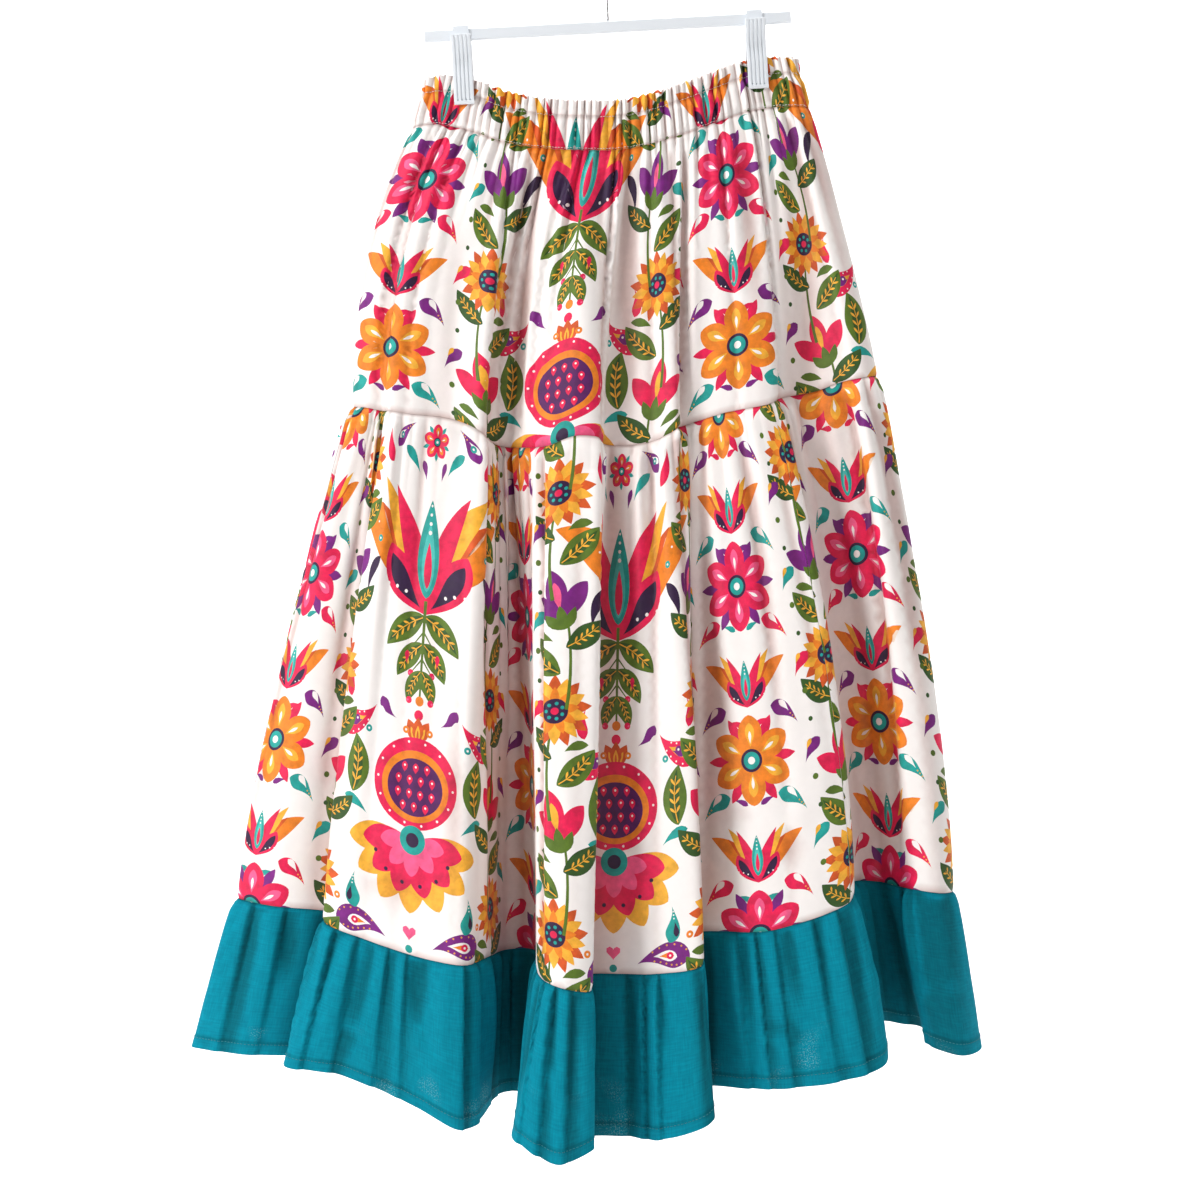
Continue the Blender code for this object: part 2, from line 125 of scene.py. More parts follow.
# The fold lines, in millimetres, in order round the skirt: where each one crosses
# seam 1, seam 2 and the hem
Fold = namedtuple("Fold", "name x1 y1 z1 x2 y2 z2 x3 y3 z3")
FRONT_FOLDS = (
    Fold("left side", -225, 2, -419, -329, 2, -862, -369, 4, -996),
    Fold("left panel", -211, -10, -421, -297, -15, -866, -324, -17, -998),
    Fold("under A", -196, -10, -424, -238, -13, -873, -264, -13, -1001),
    Fold("A", -192, -18, -424, -247, -35, -877, -280, -40, -1003),
    Fold("left of panel 2", -173, -19, -427, -205, -48, -892, -226, -50, -1010),
    Fold("middle of panel 2", -137, -15, -431, -158, -58, -905, -161, -66, -1033),
    Fold("B", -109, -23, -443, -122, -67, -910, -122, -77, -1050),
    Fold("inside B", -98, -7, -452, -100, -20, -910, -101, -14, -1043),
    Fold("deep valley", -89, 3, -455, -86, 20, -911, -88, 31, -1042),
    Fold("C", -78, -2, -456, -64, 4, -908, -66, 18, -1043),
    Fold("D", -50, -24, -456, -53, -82, -919, -75, -100, -1050),
    Fold("middle of panel 3", -25, -34, -448, -31, -98, -925, -38, -122, -1067),
    Fold("E", -3, -29, -449, -10, -89, -928, -9, -112, -1057),
    Fold("under E", 1, -17, -454, -15, -52, -921, -14, -70, -1057),
    Fold("F", 22, -13, -455, 16, -47, -921, 15, -64, -1058),
    Fold("middle of panel 4", 45, -17, -451, 48, -57, -919, 50, -77, -1058),
    Fold("G", 66, -25, -441, 87, -64, -910, 96, -84, -1040),
    Fold("under G", 70, -11, -438, 80, -25, -890, 85, -35, -1024),
    Fold("middle of panel 5", 108, -15, -426, 147, -41, -884, 163, -53, -1020),
    Fold("H", 150, -19, -418, 218, -36, -860, 246, -46, -1002),
    Fold("under H", 160, -7, -412, 224, 4, -848, 248, 18, -978),
    Fold("right valley", 191, 5, -405, 252, 32, -851, 276, 56, -986),
    Fold("I", 214, -3, -397, 268, 14, -853, 297, 30, -986),
    Fold("edge of panel 7", 226, -9, -395, 280, -6, -853, 294, -12, -993),
    Fold("middle of panel 7", 238, -8, -393, 299, -14, -855, 318, -24, -998),
)
BACK_FOLDS = (
    Fold("right side", 247, 4, -391, 316, 4, -856, 340, 5, -997),
    Fold("K", 238, 18, -394, 304, 34, -852, 330, 48, -988),
    Fold("L", 217, 31, -399, 274, 74, -850, 296, 102, -980),
    Fold("inside L", 192, 22, -405, 240, 62, -854, 254, 88, -982),
    Fold("M", 164, 36, -413, 203, 93, -872, 212, 126, -1010),
    Fold("inside M", 134, 23, -421, 162, 60, -885, 174, 84, -1030),
    Fold("N", 100, 38, -431, 117, 99, -897, 120, 134, -1044),
    Fold("inside N", 62, 22, -440, 74, 56, -903, 82, 78, -1048),
    Fold("O", 27, 35, -447, 30, 90, -912, 30, 120, -1055),
    Fold("inside O", -10, 21, -450, -13, 53, -914, -10, 72, -1056),
    Fold("P", -49, 38, -450, -58, 97, -914, -64, 130, -1058),
    Fold("inside P", -85, 23, -446, -98, 60, -908, -102, 82, -1050),
    Fold("Q", -120, 35, -439, -146, 88, -900, -158, 118, -1042),
    Fold("inside Q", -153, 21, -432, -188, 51, -890, -206, 70, -1027),
    Fold("R", -184, 31, -426, -238, 74, -880, -264, 98, -1014),
    Fold("inside R", -207, 19, -422, -282, 46, -870, -314, 62, -1003),
    Fold("S", -220, 13, -420, -317, 24, -864, -355, 34, -998),
)
FOLDS = FRONT_FOLDS + BACK_FOLDS
JOIN_FOLD = 19
RIGHT_SIDE_FOLD = len(FRONT_FOLDS)

# Heights of the gathers in millimetres, by how far down the tier: the swell of the wall,
# and the gathers two and four columns wide
Gather = namedtuple("Gather", "down swell fine coarse")
CASING_GATHERS = (
    Gather(0, 1.8, 3.6, 1.1),
    Gather(8, 0.8, 3.1, 0.8),
    Gather(13, -1.3, 2.1, 0.3),
    Gather(15, -1.3, 2.1, 0.3),
    Gather(22, 1.3, 2.9, 0.8),
    Gather(37, 1.4, 2.9, 0.8),
    Gather(42.5, -0.9, 2.1, 0.4),
    Gather(44, -1.4, 2.1, 0.4),
)
TIER_1_GATHERS = (
    Gather(0, -1.4, 1.9, 0.3),
    Gather(4, 0.2, 2.1, 1.2),
    Gather(20, 1.8, 1.6, 3.0),
    Gather(55, 2.0, 0.5, 3.4),
    Gather(120, 0.8, 0.0, 2.3),
    Gather(200, 0.2, 0.0, 1.3),
    Gather(261, 0.3, 0.0, 0.8),
    Gather(265, -1.5, 0.3, 0.6),
)
TIER_2_GATHERS = (
    Gather(0, -1.5, 0.7, 0.3),
    Gather(4, 0.4, 1.8, 1.4),
    Gather(14, 1.6, 2.2, 4.0),
    Gather(40, 1.5, 1.2, 4.8),
    Gather(90, 0.8, 0.2, 4.0),
    Gather(170, 0.2, 0.0, 2.8),
    Gather(310, 0.0, 0.0, 1.4),
    Gather(458, 0.0, 0.0, 0.6),
    Gather(462, -1.2, 0.2, 0.5),
)
RUFFLE_GATHERS = (
    Gather(0, -1.0, 0.5, 0.3),
    Gather(3, 0.3, 1.3, 0.6),
    Gather(12, 1.2, 1.4, 1.2),
    Gather(45, 1.3, 0.5, 2.0),
    Gather(90, 1.0, 0.2, 2.4),
    Gather(138, 0.2, 0.2, 2.2),
)

RUFFLE_GATHER_WIDTH = 8 / 3    # columns, so that 72 of them close round the hem
PLEAT_WIDTH = 192 / 68         # columns
# Depth of the ruffle's flat pleats by how far down it: drop and depth
RUFFLE_PLEATS = ((0, 0.6), (6, 3.2), (30, 4.4), (90, 3.0), (138, 2.0))

# How quickly a tier spreads below its upper seam, at its left and its right side
TIER_1_FLARE = (2.3, 1.15)
TIER_2_FLARE = (1.3, 1.5)

# How full the gathers are round the skirt, under seam 1: column and share. They even out
# further down.
FULLNESS_FADE = 200.0          # millimetres
SEAM_1_FULLNESS = (
    (0, 1.2), (8, 0.9), (14, 0.5), (22, 0.5), (27, 1.2), (36, 1.3), (42, 0.7), (50, 0.5),
    (56, 1.3), (62, 1.2), (66, 0.8), (70, 0.35), (80, 0.4), (86, 1.0), (92, 0.6), (100, 0.9),
    (112, 1.2), (124, 0.8), (138, 1.2), (152, 0.7), (166, 1.2), (180, 0.8), (192, 1.2),
)

# Creases laid in one by one. Each runs straight from one column and drop to another; rise is
# the height of its ridge (or of its trough, below zero), step how far its right side falls
# below its left, and width its half width, all in millimetres.
RISE_STRENGTH = 1.2
STEP_STRENGTH = 0.9
Crease = namedtuple("Crease", "column down column_2 down_2 rise step width")
TIER_1_CREASES = (
    Crease(36.8, 24, 36.2, 262, 1.4, -2.6, 6),
    Crease(24.8, 90, 24.4, 262, 1.2, 2.6, 6),
    Crease(15.5, 20, 19, 240, 1.6, 1.2, 9),
    Crease(29.0, 12, 24.5, 262, 1.8, 3.2, 9),
    Crease(34.5, 18, 36.0, 258, 1.2, -3.4, 8),
    Crease(41.0, 30, 43.0, 250, 0.8, 1.6, 8),
    Crease(45.5, 16, 48.0, 262, 1.6, 3.0, 8),
    Crease(53.0, 40, 55.5, 250, -1.4, 0.8, 9),
    Crease(57.5, 22, 58.5, 200, 1.2, -1.4, 7),
    Crease(67.5, 18, 66.5, 262, 1.6, -4.0, 8),
    Crease(77.0, 30, 76.0, 180, -1.0, 0.6, 10),
    Crease(87.5, 10, 84.5, 255, 1.4, 3.8, 9),
    Crease(5.5, 30, 7.5, 250, 1.0, 2.2, 9),
    Crease(103.0, 20, 101.0, 250, 1.4, 2.8, 9),
    Crease(112.0, 16, 113.5, 220, 1.2, -2.4, 8),
    Crease(121.0, 28, 119.0, 262, 1.4, 3.0, 9),
    Crease(133.0, 16, 134.0, 240, -1.2, 1.6, 9),
    Crease(142.5, 22, 141.0, 262, 1.6, -3.0, 8),
    Crease(155.0, 20, 156.5, 230, 1.2, 2.6, 9),
    Crease(166.0, 34, 164.5, 258, 1.2, -2.2, 9),
    Crease(178.0, 18, 180.0, 240, 1.4, 2.6, 8),
)
TIER_2_CREASES = (
    Crease(12.6, 24, 11.8, 458, 1.2, -2.8, 8),
    Crease(24.6, 20, 27.7, 458, 1.5, 4.2, 7),
    Crease(42.0, 12, 42.8, 458, 1.5, -4.2, 6),
    Crease(48.6, 30, 50.2, 458, 1.2, 3.4, 7),
    Crease(66.8, 12, 65.8, 458, 1.6, 4.2, 7),
    Crease(80.4, 24, 80.2, 458, 1.4, 4.0, 7),
    Crease(92.0, 24, 90.4, 440, 1.2, -3.0, 7),
    Crease(108.5, 16, 107.5, 450, 1.3, 3.2, 8),
    Crease(127.5, 20, 128.5, 440, 1.3, -3.0, 8),
    Crease(146.5, 14, 145.0, 452, 1.4, 3.2, 8),
    Crease(163.5, 20, 164.0, 436, 1.2, -3.0, 8),
    Crease(180.5, 18, 181.5, 448, 1.3, 2.8, 8),
    Crease(3.5, 12, 3.0, 190, 1.2, 2.4, 9),
    Crease(9.0, 8, 7.0, 150, -1.4, 2.4, 9),
    Crease(13.5, 20, 12.5, 210, 1.0, 1.2, 11),
    Crease(20.0, 150, 21.0, 400, -0.9, 0.8, 16),
    Crease(23.5, 14, 24.0, 300, 1.2, 2.4, 11),
    Crease(29.5, 8, 30.0, 330, 2.0, -2.0, 8),
    Crease(33.0, 8, 33.5, 300, -1.6, 1.6, 8),
    Crease(38.0, 8, 38.5, 330, 1.8, -2.0, 8),
    Crease(45.0, 60, 45.5, 420, 0.8, 0.8, 14),
    Crease(57.0, 8, 57.5, 170, 1.4, 2.0, 9),
    Crease(60.5, 8, 62.0, 250, -1.2, 1.6, 9),
    Crease(64.5, 10, 65.5, 200, 1.2, 1.6, 8),
    Crease(69.5, 14, 70.5, 250, 1.4, 2.4, 10),
    Crease(73.5, 30, 75.5, 330, -1.2, 1.2, 13),
    Crease(77.0, 8, 78.0, 440, 1.0, 1.2, 7),
    Crease(83.0, 8, 84.5, 300, 1.4, -1.8, 9),
    Crease(88.5, 12, 90.0, 330, 1.4, 2.2, 10),
    Crease(93.0, 30, 94.0, 260, -1.0, 1.2, 11),
    Crease(70.5, 395, 77.5, 350, 0.9, 0.6, 12),
    Crease(69.5, 350, 76.0, 420, -0.8, 0.5, 12),
    Crease(2.0, 300, 6.5, 360, 0.9, 0.7, 12),
    Crease(12.5, 330, 20.5, 352, 0.8, 0.5, 12),
    Crease(13.0, 410, 22.0, 395, -0.8, 0.6, 12),
    Crease(90.0, 120, 95.0, 190, 0.9, 0.5, 11),
    Crease(85.0, 260, 89.0, 330, 0.9, 0.6, 11),
    Crease(100.0, 10, 101.5, 280, 1.4, 2.2, 10),
    Crease(108.0, 10, 109.5, 200, -1.4, 1.4, 10),
    Crease(116.0, 8, 115.0, 330, 1.4, -2.4, 10),
    Crease(124.0, 12, 126.0, 260, 1.2, 1.6, 10),
    Crease(132.0, 10, 131.0, 350, -1.2, 2.2, 11),
    Crease(141.0, 8, 142.5, 260, 1.6, -1.6, 10),
    Crease(150.0, 12, 149.0, 320, 1.2, 2.4, 10),
    Crease(159.0, 10, 160.0, 220, -1.2, 1.4, 10),
    Crease(168.0, 12, 167.0, 340, 1.4, -2.2, 10),
    Crease(177.0, 8, 178.5, 250, 1.2, 1.8, 10),
    Crease(185.0, 10, 184.0, 300, 1.4, 2.2, 10),
    Crease(112.0, 380, 119.0, 350, 0.9, 0.6, 13),
    Crease(146.0, 330, 152.0, 380, -0.9, 0.5, 13),
    Crease(171.0, 400, 178.0, 372, 0.9, 0.6, 13),
)
RUFFLE_CREASES = (
    Crease(11.8, 3, 11.6, 136, 1.2, -2.8, 8),
    Crease(27.7, 3, 28.0, 136, 1.4, 3.8, 7),
    Crease(42.8, 3, 42.6, 136, 1.4, -3.8, 7),
    Crease(50.2, 3, 50.6, 134, 1.2, 3.2, 7),
    Crease(65.8, 3, 65.4, 136, 1.4, 4.0, 7),
    Crease(80.2, 3, 80.4, 136, 1.4, 3.8, 7),
    Crease(90.4, 3, 90.0, 130, 1.2, -3.0, 7),
    Crease(1.0, 4, 1.5, 128, 1.2, 2.0, 8),
    Crease(4.5, 4, 5.5, 70, -1.2, 1.6, 7),
    Crease(8.5, 4, 9.0, 120, 1.0, -1.8, 9),
    Crease(14.0, 4, 13.5, 110, 1.2, 1.8, 8),
    Crease(18.5, 4, 19.0, 64, -1.0, 1.6, 7),
    Crease(22.5, 4, 22.0, 130, 1.2, 2.0, 9),
    Crease(27.5, 4, 27.0, 100, 1.2, -1.8, 8),
    Crease(33.5, 4, 34.5, 130, -1.2, 1.8, 8),
    Crease(41.0, 4, 40.5, 90, 1.0, 1.8, 8),
    Crease(46.5, 4, 47.5, 130, 1.2, -1.8, 8),
    Crease(51.5, 4, 51.0, 80, -1.2, 1.8, 7),
    Crease(58.0, 4, 58.5, 125, 1.2, 2.0, 8),
    Crease(63.5, 4, 63.0, 78, 1.0, -1.8, 8),
    Crease(69.0, 4, 69.5, 120, 1.2, 2.2, 8),
    Crease(73.0, 4, 74.0, 96, -1.2, 1.8, 8),
    Crease(77.5, 4, 77.0, 130, 1.2, 1.8, 8),
    Crease(83.0, 4, 82.5, 84, 1.0, -2.0, 8),
    Crease(88.5, 4, 89.5, 128, 1.2, 1.8, 8),
    Crease(93.0, 4, 92.5, 76, -1.2, 1.8, 8),
    Crease(99.0, 4, 99.5, 128, 1.2, 2.0, 9),
    Crease(106.0, 4, 105.5, 90, -1.2, 1.8, 8),
    Crease(113.0, 4, 114.0, 124, 1.2, -2.0, 9),
    Crease(120.5, 4, 120.0, 84, 1.0, 1.8, 8),
    Crease(128.0, 4, 128.5, 130, -1.2, 2.0, 9),
    Crease(136.5, 4, 136.0, 92, 1.2, -1.8, 8),
    Crease(144.0, 4, 145.0, 126, 1.2, 2.0, 9),
    Crease(152.0, 4, 151.5, 82, -1.0, 1.8, 8),
    Crease(159.5, 4, 160.0, 130, 1.2, 2.0, 9),
    Crease(168.0, 4, 167.5, 88, 1.2, -1.8, 8),
    Crease(176.5, 4, 177.0, 126, -1.2, 1.8, 8),
    Crease(185.5, 4, 185.0, 96, 1.2, 2.0, 8),
    Crease(12.0, 96, 16.5, 84, 0.9, 0.6, 7),
    Crease(19.5, 70, 23.5, 102, -0.9, 0.6, 7),
    Crease(44.0, 60, 47.5, 108, 0.9, 0.6, 7),
    Crease(50.0, 100, 54.5, 86, 0.8, 0.5, 7),
    Crease(71.0, 84, 75.5, 106, -0.9, 0.6, 7),
    Crease(79.0, 58, 82.5, 96, 0.9, 0.6, 7),
    Crease(90.5, 96, 94.5, 78, 0.8, 0.6, 7),
    Crease(109.0, 88, 113.0, 104, 0.9, 0.6, 8),
    Crease(132.0, 104, 137.0, 84, -0.9, 0.6, 8),
    Crease(155.0, 76, 159.0, 104, 0.9, 0.6, 8),
    Crease(180.0, 102, 184.0, 80, 0.9, 0.6, 8),
)

# Painted shade, darkening the cloth's colour: how deep a fold and a gather lie where theirs
# is full, and how wide a seam's and a pleat's is
FOLD_SHADE_DEPTH = 26.0
GATHER_SHADE_DEPTH = 2.0
SEAM_SHADE_WIDTH = 1.3
PLEAT_LINE_DROP = 105.0        # how far down the ruffle the shade at its pleats' edges reaches
PLEAT_LINE_PLACE = 0.93        # across the pleat, from 0 to 1
PLEAT_LINE_WIDTH = 0.07
# How strong each kind of painted shade is, and how much red, green and blue full shade takes
FOLD_SHADE = 0.62
GATHER_SHADE = 0.6
SEAM_SHADE = 0.5
PLEAT_SHADE = 0.6
SHADE_LOSS = (0.26, 0.38, 0.40)

# Colours of the print, as red, green and blue on screen
INKS = {
    "white": (246, 241, 238),
    "crimson": (232, 17, 79),
    "rose": (246, 90, 140),
    "orange": (240, 132, 28),
    "amber": (247, 178, 52),
    "rust": (214, 86, 26),
    "teal": (22, 160, 152),
    "aqua": (70, 190, 182),
    "purple": (122, 24, 126),
    "plum": (84, 16, 90),
    "aubergine": (45, 15, 59),
    "olive": (88, 116, 30),
    "forest": (48, 84, 28),
}
INK_NAMES = list(INKS)
HALF_PERIOD = 190.0            # from one mirror line of the print to the next
PRINT_HEIGHT = 465.0
TIER_1_PRINT_FOOT = 96.0       # height in the print where tier 1's lower edge was cut
VINE_LINE = 97                 # the vine's distance from mirror line A
VINE_FOOT = 46
VINE_STEP = 93
ROSETTE_STEP = 155
# How far along the print each panel's left edge was cut
FRONT_PRINT_START = 148
BACK_PRINT_START = 60
LONG_FRONT_PRINT_START = 172
LONG_BACK_PRINT_START = 90

SHOW_THROUGH = 0.38            # how much of the print shows on the cloth's inner side
TEAL_LIGHT = (0.0, 0.285, 0.395, 1)     # linear light
TEAL_DARK = (0.0, 0.20, 0.29, 1)
TEAL_THIN = (0.20, 0.50, 0.55, 1)


# Curves round the skirt

def smooth_ring(points, place):
    """The closed smooth curve through the points, read at each place along them."""
    count = len(points)
    first = np.floor(place).astype(int)
    part = (place - first)[:, None]
    p0, p1, p2, p3 = [points[(first + step) % count] for step in (-1, 0, 1, 2)]

    def knot(a, b):
        return np.linalg.norm((b - a)[:, :2], axis=1)[:, None] ** 0.5

    t1 = knot(p0, p1)
    t2 = t1 + knot(p1, p2)
    t3 = t2 + knot(p2, p3)
    t = t1 + part * (t2 - t1)
    a1 = p0 + (p1 - p0) * t / t1
    a2 = p1 + (p2 - p1) * (t - t1) / (t2 - t1)
    a3 = p2 + (p3 - p2) * (t - t2) / (t3 - t2)
    b1 = a1 + (a2 - a1) * t / t2
    b2 = a2 + (a3 - a2) * (t - t1) / (t3 - t1)
    return b1 + (b2 - b1) * (t - t1) / (t2 - t1)


def length_share(points, place):
    """How far round a ring each place lies, as a share of the ring's length."""
    line = smooth_ring(points, place)
    steps = np.linalg.norm(np.diff(line[:, :2], axis=0), axis=1)
    travelled = np.concatenate(([0.0], np.cumsum(steps)))
    return travelled / travelled[-1]


class Ring:
    """A closed curve round the skirt that can be read at any column, whole or not."""

    def __init__(self, points, fine, share, anchors):
        self.points = points
        self.fine = fine
        self.share = share
        self.anchor_columns, anchor_places = zip(*anchors)
        self.anchor_shares = np.interp(anchor_places, fine, share)

    def __call__(self, column):
        wanted = np.interp(np.mod(column, COLUMNS), self.anchor_columns, self.anchor_shares)
        return smooth_ring(self.points, np.interp(wanted, self.share, self.fine))


def make_rings():
    """The waist's top edge, the lower stitch row, seam 1, seam 2 and the hem."""
    front = [(row.x, -row.half_gap, row.top) for row in WAIST]
    back = [(row.x, row.half_gap, row.top) for row in reversed(WAIST)]
    left = [(WAIST_LEFT_END[0], 0, WAIST_LEFT_END[1])]
    right = [(WAIST_RIGHT_END[0], 0, WAIST_RIGHT_END[1])]
    waist = np.array(left + front + right + back, dtype=float)
    fine = np.linspace(0, len(waist), 32 * len(waist) + 1)
    anchors = ((0, 0), (HALF_COLUMNS, len(WAIST) + 1), (COLUMNS, len(waist)))
    top = Ring(waist, fine, length_share(waist, fine), anchors)

    def casing_end(column):
        points = top(column)
        points[:, 0] = WAIST_MIDDLE + (points[:, 0] - WAIST_MIDDLE) * CASING_SPREAD
        points[:, 2] -= CASING_HEIGHT
        return points

    crossings = []
    for level in (1, 2, 3):
        rows = [(fold[3 * level - 2], fold[3 * level - 1], fold[3 * level]) for fold in FOLDS]
        crossings.append(np.array(rows, dtype=float))
    fine = np.linspace(0, len(FOLDS), 32 * len(FOLDS) + 1)
    share = np.mean([length_share(points, fine) for points in crossings], axis=0)
    anchors = (
        (0, 0),
        (JOIN_COLUMN, JOIN_FOLD),
        (HALF_COLUMNS, RIGHT_SIDE_FOLD),
        (COLUMNS, len(FOLDS)),
    )
    seam_1, seam_2, hem = [Ring(points, fine, share, anchors) for points in crossings]
    return top, casing_end, seam_1, seam_2, hem


TOP, CASING_END, SEAM_1, SEAM_2, HEM = make_rings()


# The cloth's form

def eased(position, table):
    """Read a table of (place, value) pairs with a soft turn at each pair."""
    places, values = np.array(table, dtype=float).T
    index = np.clip(np.searchsorted(places, position, side="right") - 1, 0, len(places) - 2)
    part = np.clip((position - places[index]) / (places[index + 1] - places[index]), 0, 1)
    part = part * part * (3 - 2 * part)
    return values[index] + (values[index + 1] - values[index]) * part


def round_wave(column, cycles, phase):
    """A sine that closes after whole cycles round the skirt."""
    return np.sin(2 * math.pi * cycles * column / COLUMNS + phase)


def gather_wave(column, width, drift):
    """Puffs a few columns wide, sharp between them, each unlike the next."""
    moved = column + drift * (0.30 * round_wave(column, 23, 0.5) + 0.24 * round_wave(column, 11, 2.0))
    ridge = np.sqrt(np.cos(math.pi * moved / width) ** 2 + 0.05)
    size = 1 + 0.30 * round_wave(column, 19, 1.0) + 0.28 * round_wave(column, 31, 0.6)
    return (1.7 * ridge - 1) * size


def pleat_place(column, width):
    """How far across its pleat each point lies, from 0 to 1. The pleats are uneven in width."""
    moved = column + 0.42 * width * (round_wave(column, 13, 0.8) + 0.6 * round_wave(column, 29, 2.4))
    return np.mod(moved / width, 1)


def pleat_wave(column, width):
    """Flat pleats that rise slowly and fall away at one edge."""
    place = pleat_place(column, width)
    edge = 0.14
    rise = place / (1 - edge)
    fall = (1 - place) / edge
    shape = np.minimum(rise, fall)
    shape = shape * shape * (3 - 2 * shape)
    return (1.25 * shape - 0.6) * (1 + 0.3 * round_wave(column, 17, 1.4))


def clip_grip(column):
    """How much of the gathers' height is left under each clip's jaws."""
    x = TOP(column)[:, 0]
    reach = CLIP_OFFSET / MM * math.cos(HANGER_TILT)
    nearest = np.minimum(abs(x + reach - GRIP_MIDDLE), abs(x - reach - GRIP_MIDDLE))
    return 1 - GRIP_LOSS * np.exp(-(nearest / GRIP_REACH) ** 6)


def crease_height(column, down, creases, column_width):
    """The height of the listed creases at each point."""
    height = np.zeros(len(column))
    for crease in creases:
        start = np.array((crease.column * column_width, crease.down))
        run = np.array((crease.column_2 * column_width, crease.down_2)) - start
        length = np.hypot(*run)
        run = run / length
        across = column - crease.column
        across = (across + COLUMNS / 2) % COLUMNS - COLUMNS / 2
        x = across * column_width
        y = down - crease.down
        along = (x * run[0] + y * run[1]) / length
        aside = (x * run[1] - y * run[0]) * np.sign(run[1] + 1e-9)
        near = abs(aside) < 4 * crease.width
        near &= (along > -0.1) & (along < 1.1)
        share = np.clip(along[near], 0, 1)
        taper = np.sin(math.pi * share ** 0.7) ** 0.6
        side = aside[near] / crease.width
        bell = np.exp(-side ** 2)
        fall = -side * np.exp(0.5 - side ** 2 / 2)
        raised = RISE_STRENGTH * crease.rise * bell + STEP_STRENGTH * crease.step * fall
        height[near] += taper * raised
    return height


class Tier:
    """One tier of cloth, between an upper and a lower ring."""

    def __init__(self, upper, lower, drop, gathers, flare=(1.0, 1.0), creases=(), column_width=6.0,
                 gather_width=2.0, fullness=None, grip=False, near_ends=0.0, pleats=(), sewn=()):
        self.upper = upper
        self.lower = lower
        self.drop = drop
        self.flare = flare
        self.creases = creases
        self.column_width = column_width
        self.gather_width = gather_width
        self.fullness = fullness
        self.grip = grip
        self.near_ends = near_ends
        self.pleats = pleats
        self.sewn = sewn
        self.swell = [(row.down, row.swell) for row in gathers]
        self.fine = [(row.down, row.fine) for row in gathers]
        self.coarse = [(row.down, row.coarse) for row in gathers]
        self.reach = abs(lower(np.arange(COLUMNS, dtype=float))[:, 0]).max()
        steps = np.linspace(0, COLUMNS, 16 * COLUMNS + 1)
        line = lower(steps)
        lengths = np.linalg.norm(np.diff(line, axis=0), axis=1)
        self.steps = steps
        self.travelled = np.concatenate(([0.0], np.cumsum(lengths)))

    def cloth_at(self, column):
        """How far round the cloth's lower edge a column lies, in millimetres."""
        return np.interp(column, self.steps, self.travelled)

    def column_at(self, cloth):
        return np.interp(cloth, self.travelled, self.steps)

    def width_between(self, start_column, end_column):
        """How much cloth lies between two columns, in millimetres."""
        start, end = self.cloth_at(np.array((start_column, end_column), dtype=float))
        return end - start

    def base(self, column, down):
        upper = self.upper(column)
        lower = self.lower(column)
        fall = np.clip(down / self.drop, 0, 1)
        sideways = np.clip(lower[:, 0] / self.reach, -1, 1)
        flare = self.flare[0] + (self.flare[1] - self.flare[0]) * (1 + sideways) / 2
        spread = 1 - (1 - fall) ** flare
        points = upper + (lower - upper) * spread[:, None]
        points[:, 2] = upper[:, 2] + (lower[:, 2] - upper[:, 2]) * fall
        return points

    def height(self, column, down):
        width = self.gather_width
        fine = eased(down, self.fine) * gather_wave(column, width, 1.0)
        coarse = eased(down, self.coarse) * gather_wave(column + 0.4, 2 * width, 2.2)
        if self.fullness:
            full = eased(np.mod(column, COLUMNS), self.fullness)
            fade = np.clip(1 - down / FULLNESS_FADE, 0, 1)
            fine = fine * (1 + (full - 1) * fade)
            coarse = coarse * (1 + (full - 1) * fade)
        height = eased(down, self.swell) + fine + coarse
        if self.pleats:
            height = height + eased(down, self.pleats) * pleat_wave(column, PLEAT_WIDTH)
        height = height + crease_height(column, down, self.creases, self.column_width)
        if self.grip:
            height = height * clip_grip(column)
        if self.near_ends:
            to_end = abs(np.mod(column + HALF_COLUMNS / 2, HALF_COLUMNS) - HALF_COLUMNS / 2)
            height = height * (1 - self.near_ends * np.exp(-(to_end / END_COLUMNS) ** 2))
        return height

    def shade(self, column, down):
        """How much light each point loses to painted shade, from 0 to 1, deep in a gather or a fold."""
        here = self.base(column, down)
        left, right = self.base(column - 4, down), self.base(column + 4, down)
        along = self.base(column + 1, down) - self.base(column - 1, down)
        out = np.stack((along[:, 1], -along[:, 0]), axis=1)
        out /= np.linalg.norm(out, axis=1)[:, None]
        depth = (((left + right) / 2 - here)[:, :2] * out).sum(axis=1)
        gathered = self.height(column, down) - eased(down, self.swell)
        fold = np.clip(depth / FOLD_SHADE_DEPTH, 0, 1)
        gather = np.clip(-gathered / GATHER_SHADE_DEPTH, 0, 1)
        seam = sum(np.exp(-((down - row) / SEAM_SHADE_WIDTH) ** 2) for row in self.sewn)
        light_lost = FOLD_SHADE * fold + GATHER_SHADE * gather + SEAM_SHADE * seam
        if self.pleats:
            across = (pleat_place(column, PLEAT_WIDTH) - PLEAT_LINE_PLACE) / PLEAT_LINE_WIDTH
            fade = np.clip(1.1 - down / PLEAT_LINE_DROP, 0, 1)
            light_lost = light_lost + PLEAT_SHADE * np.exp(-across ** 2) * fade
        return np.clip(light_lost, 0, 1)

    def points(self, column, down):
        """The cloth's middle surface, in millimetres."""
        base = self.base(column, down)
        along = self.base(column + 0.3, down) - self.base(column - 0.3, down)
        out = np.stack((along[:, 1], -along[:, 0], np.zeros(len(along))), axis=1)
        out /= np.linalg.norm(out, axis=1)[:, None]
        points = base + out * self.height(column, down)[:, None]
        if self.grip:
            # The frill's edge dips between its gathers
            near_edge = np.clip(1 - down / FRILL_HEIGHT, 0, 1) * clip_grip(column)
            dip = np.minimum(gather_wave(column + 0.6, 2.0, 1.0), 0.3)
            points[:, 2] += FRILL_DIP * near_edge * dip
        return points

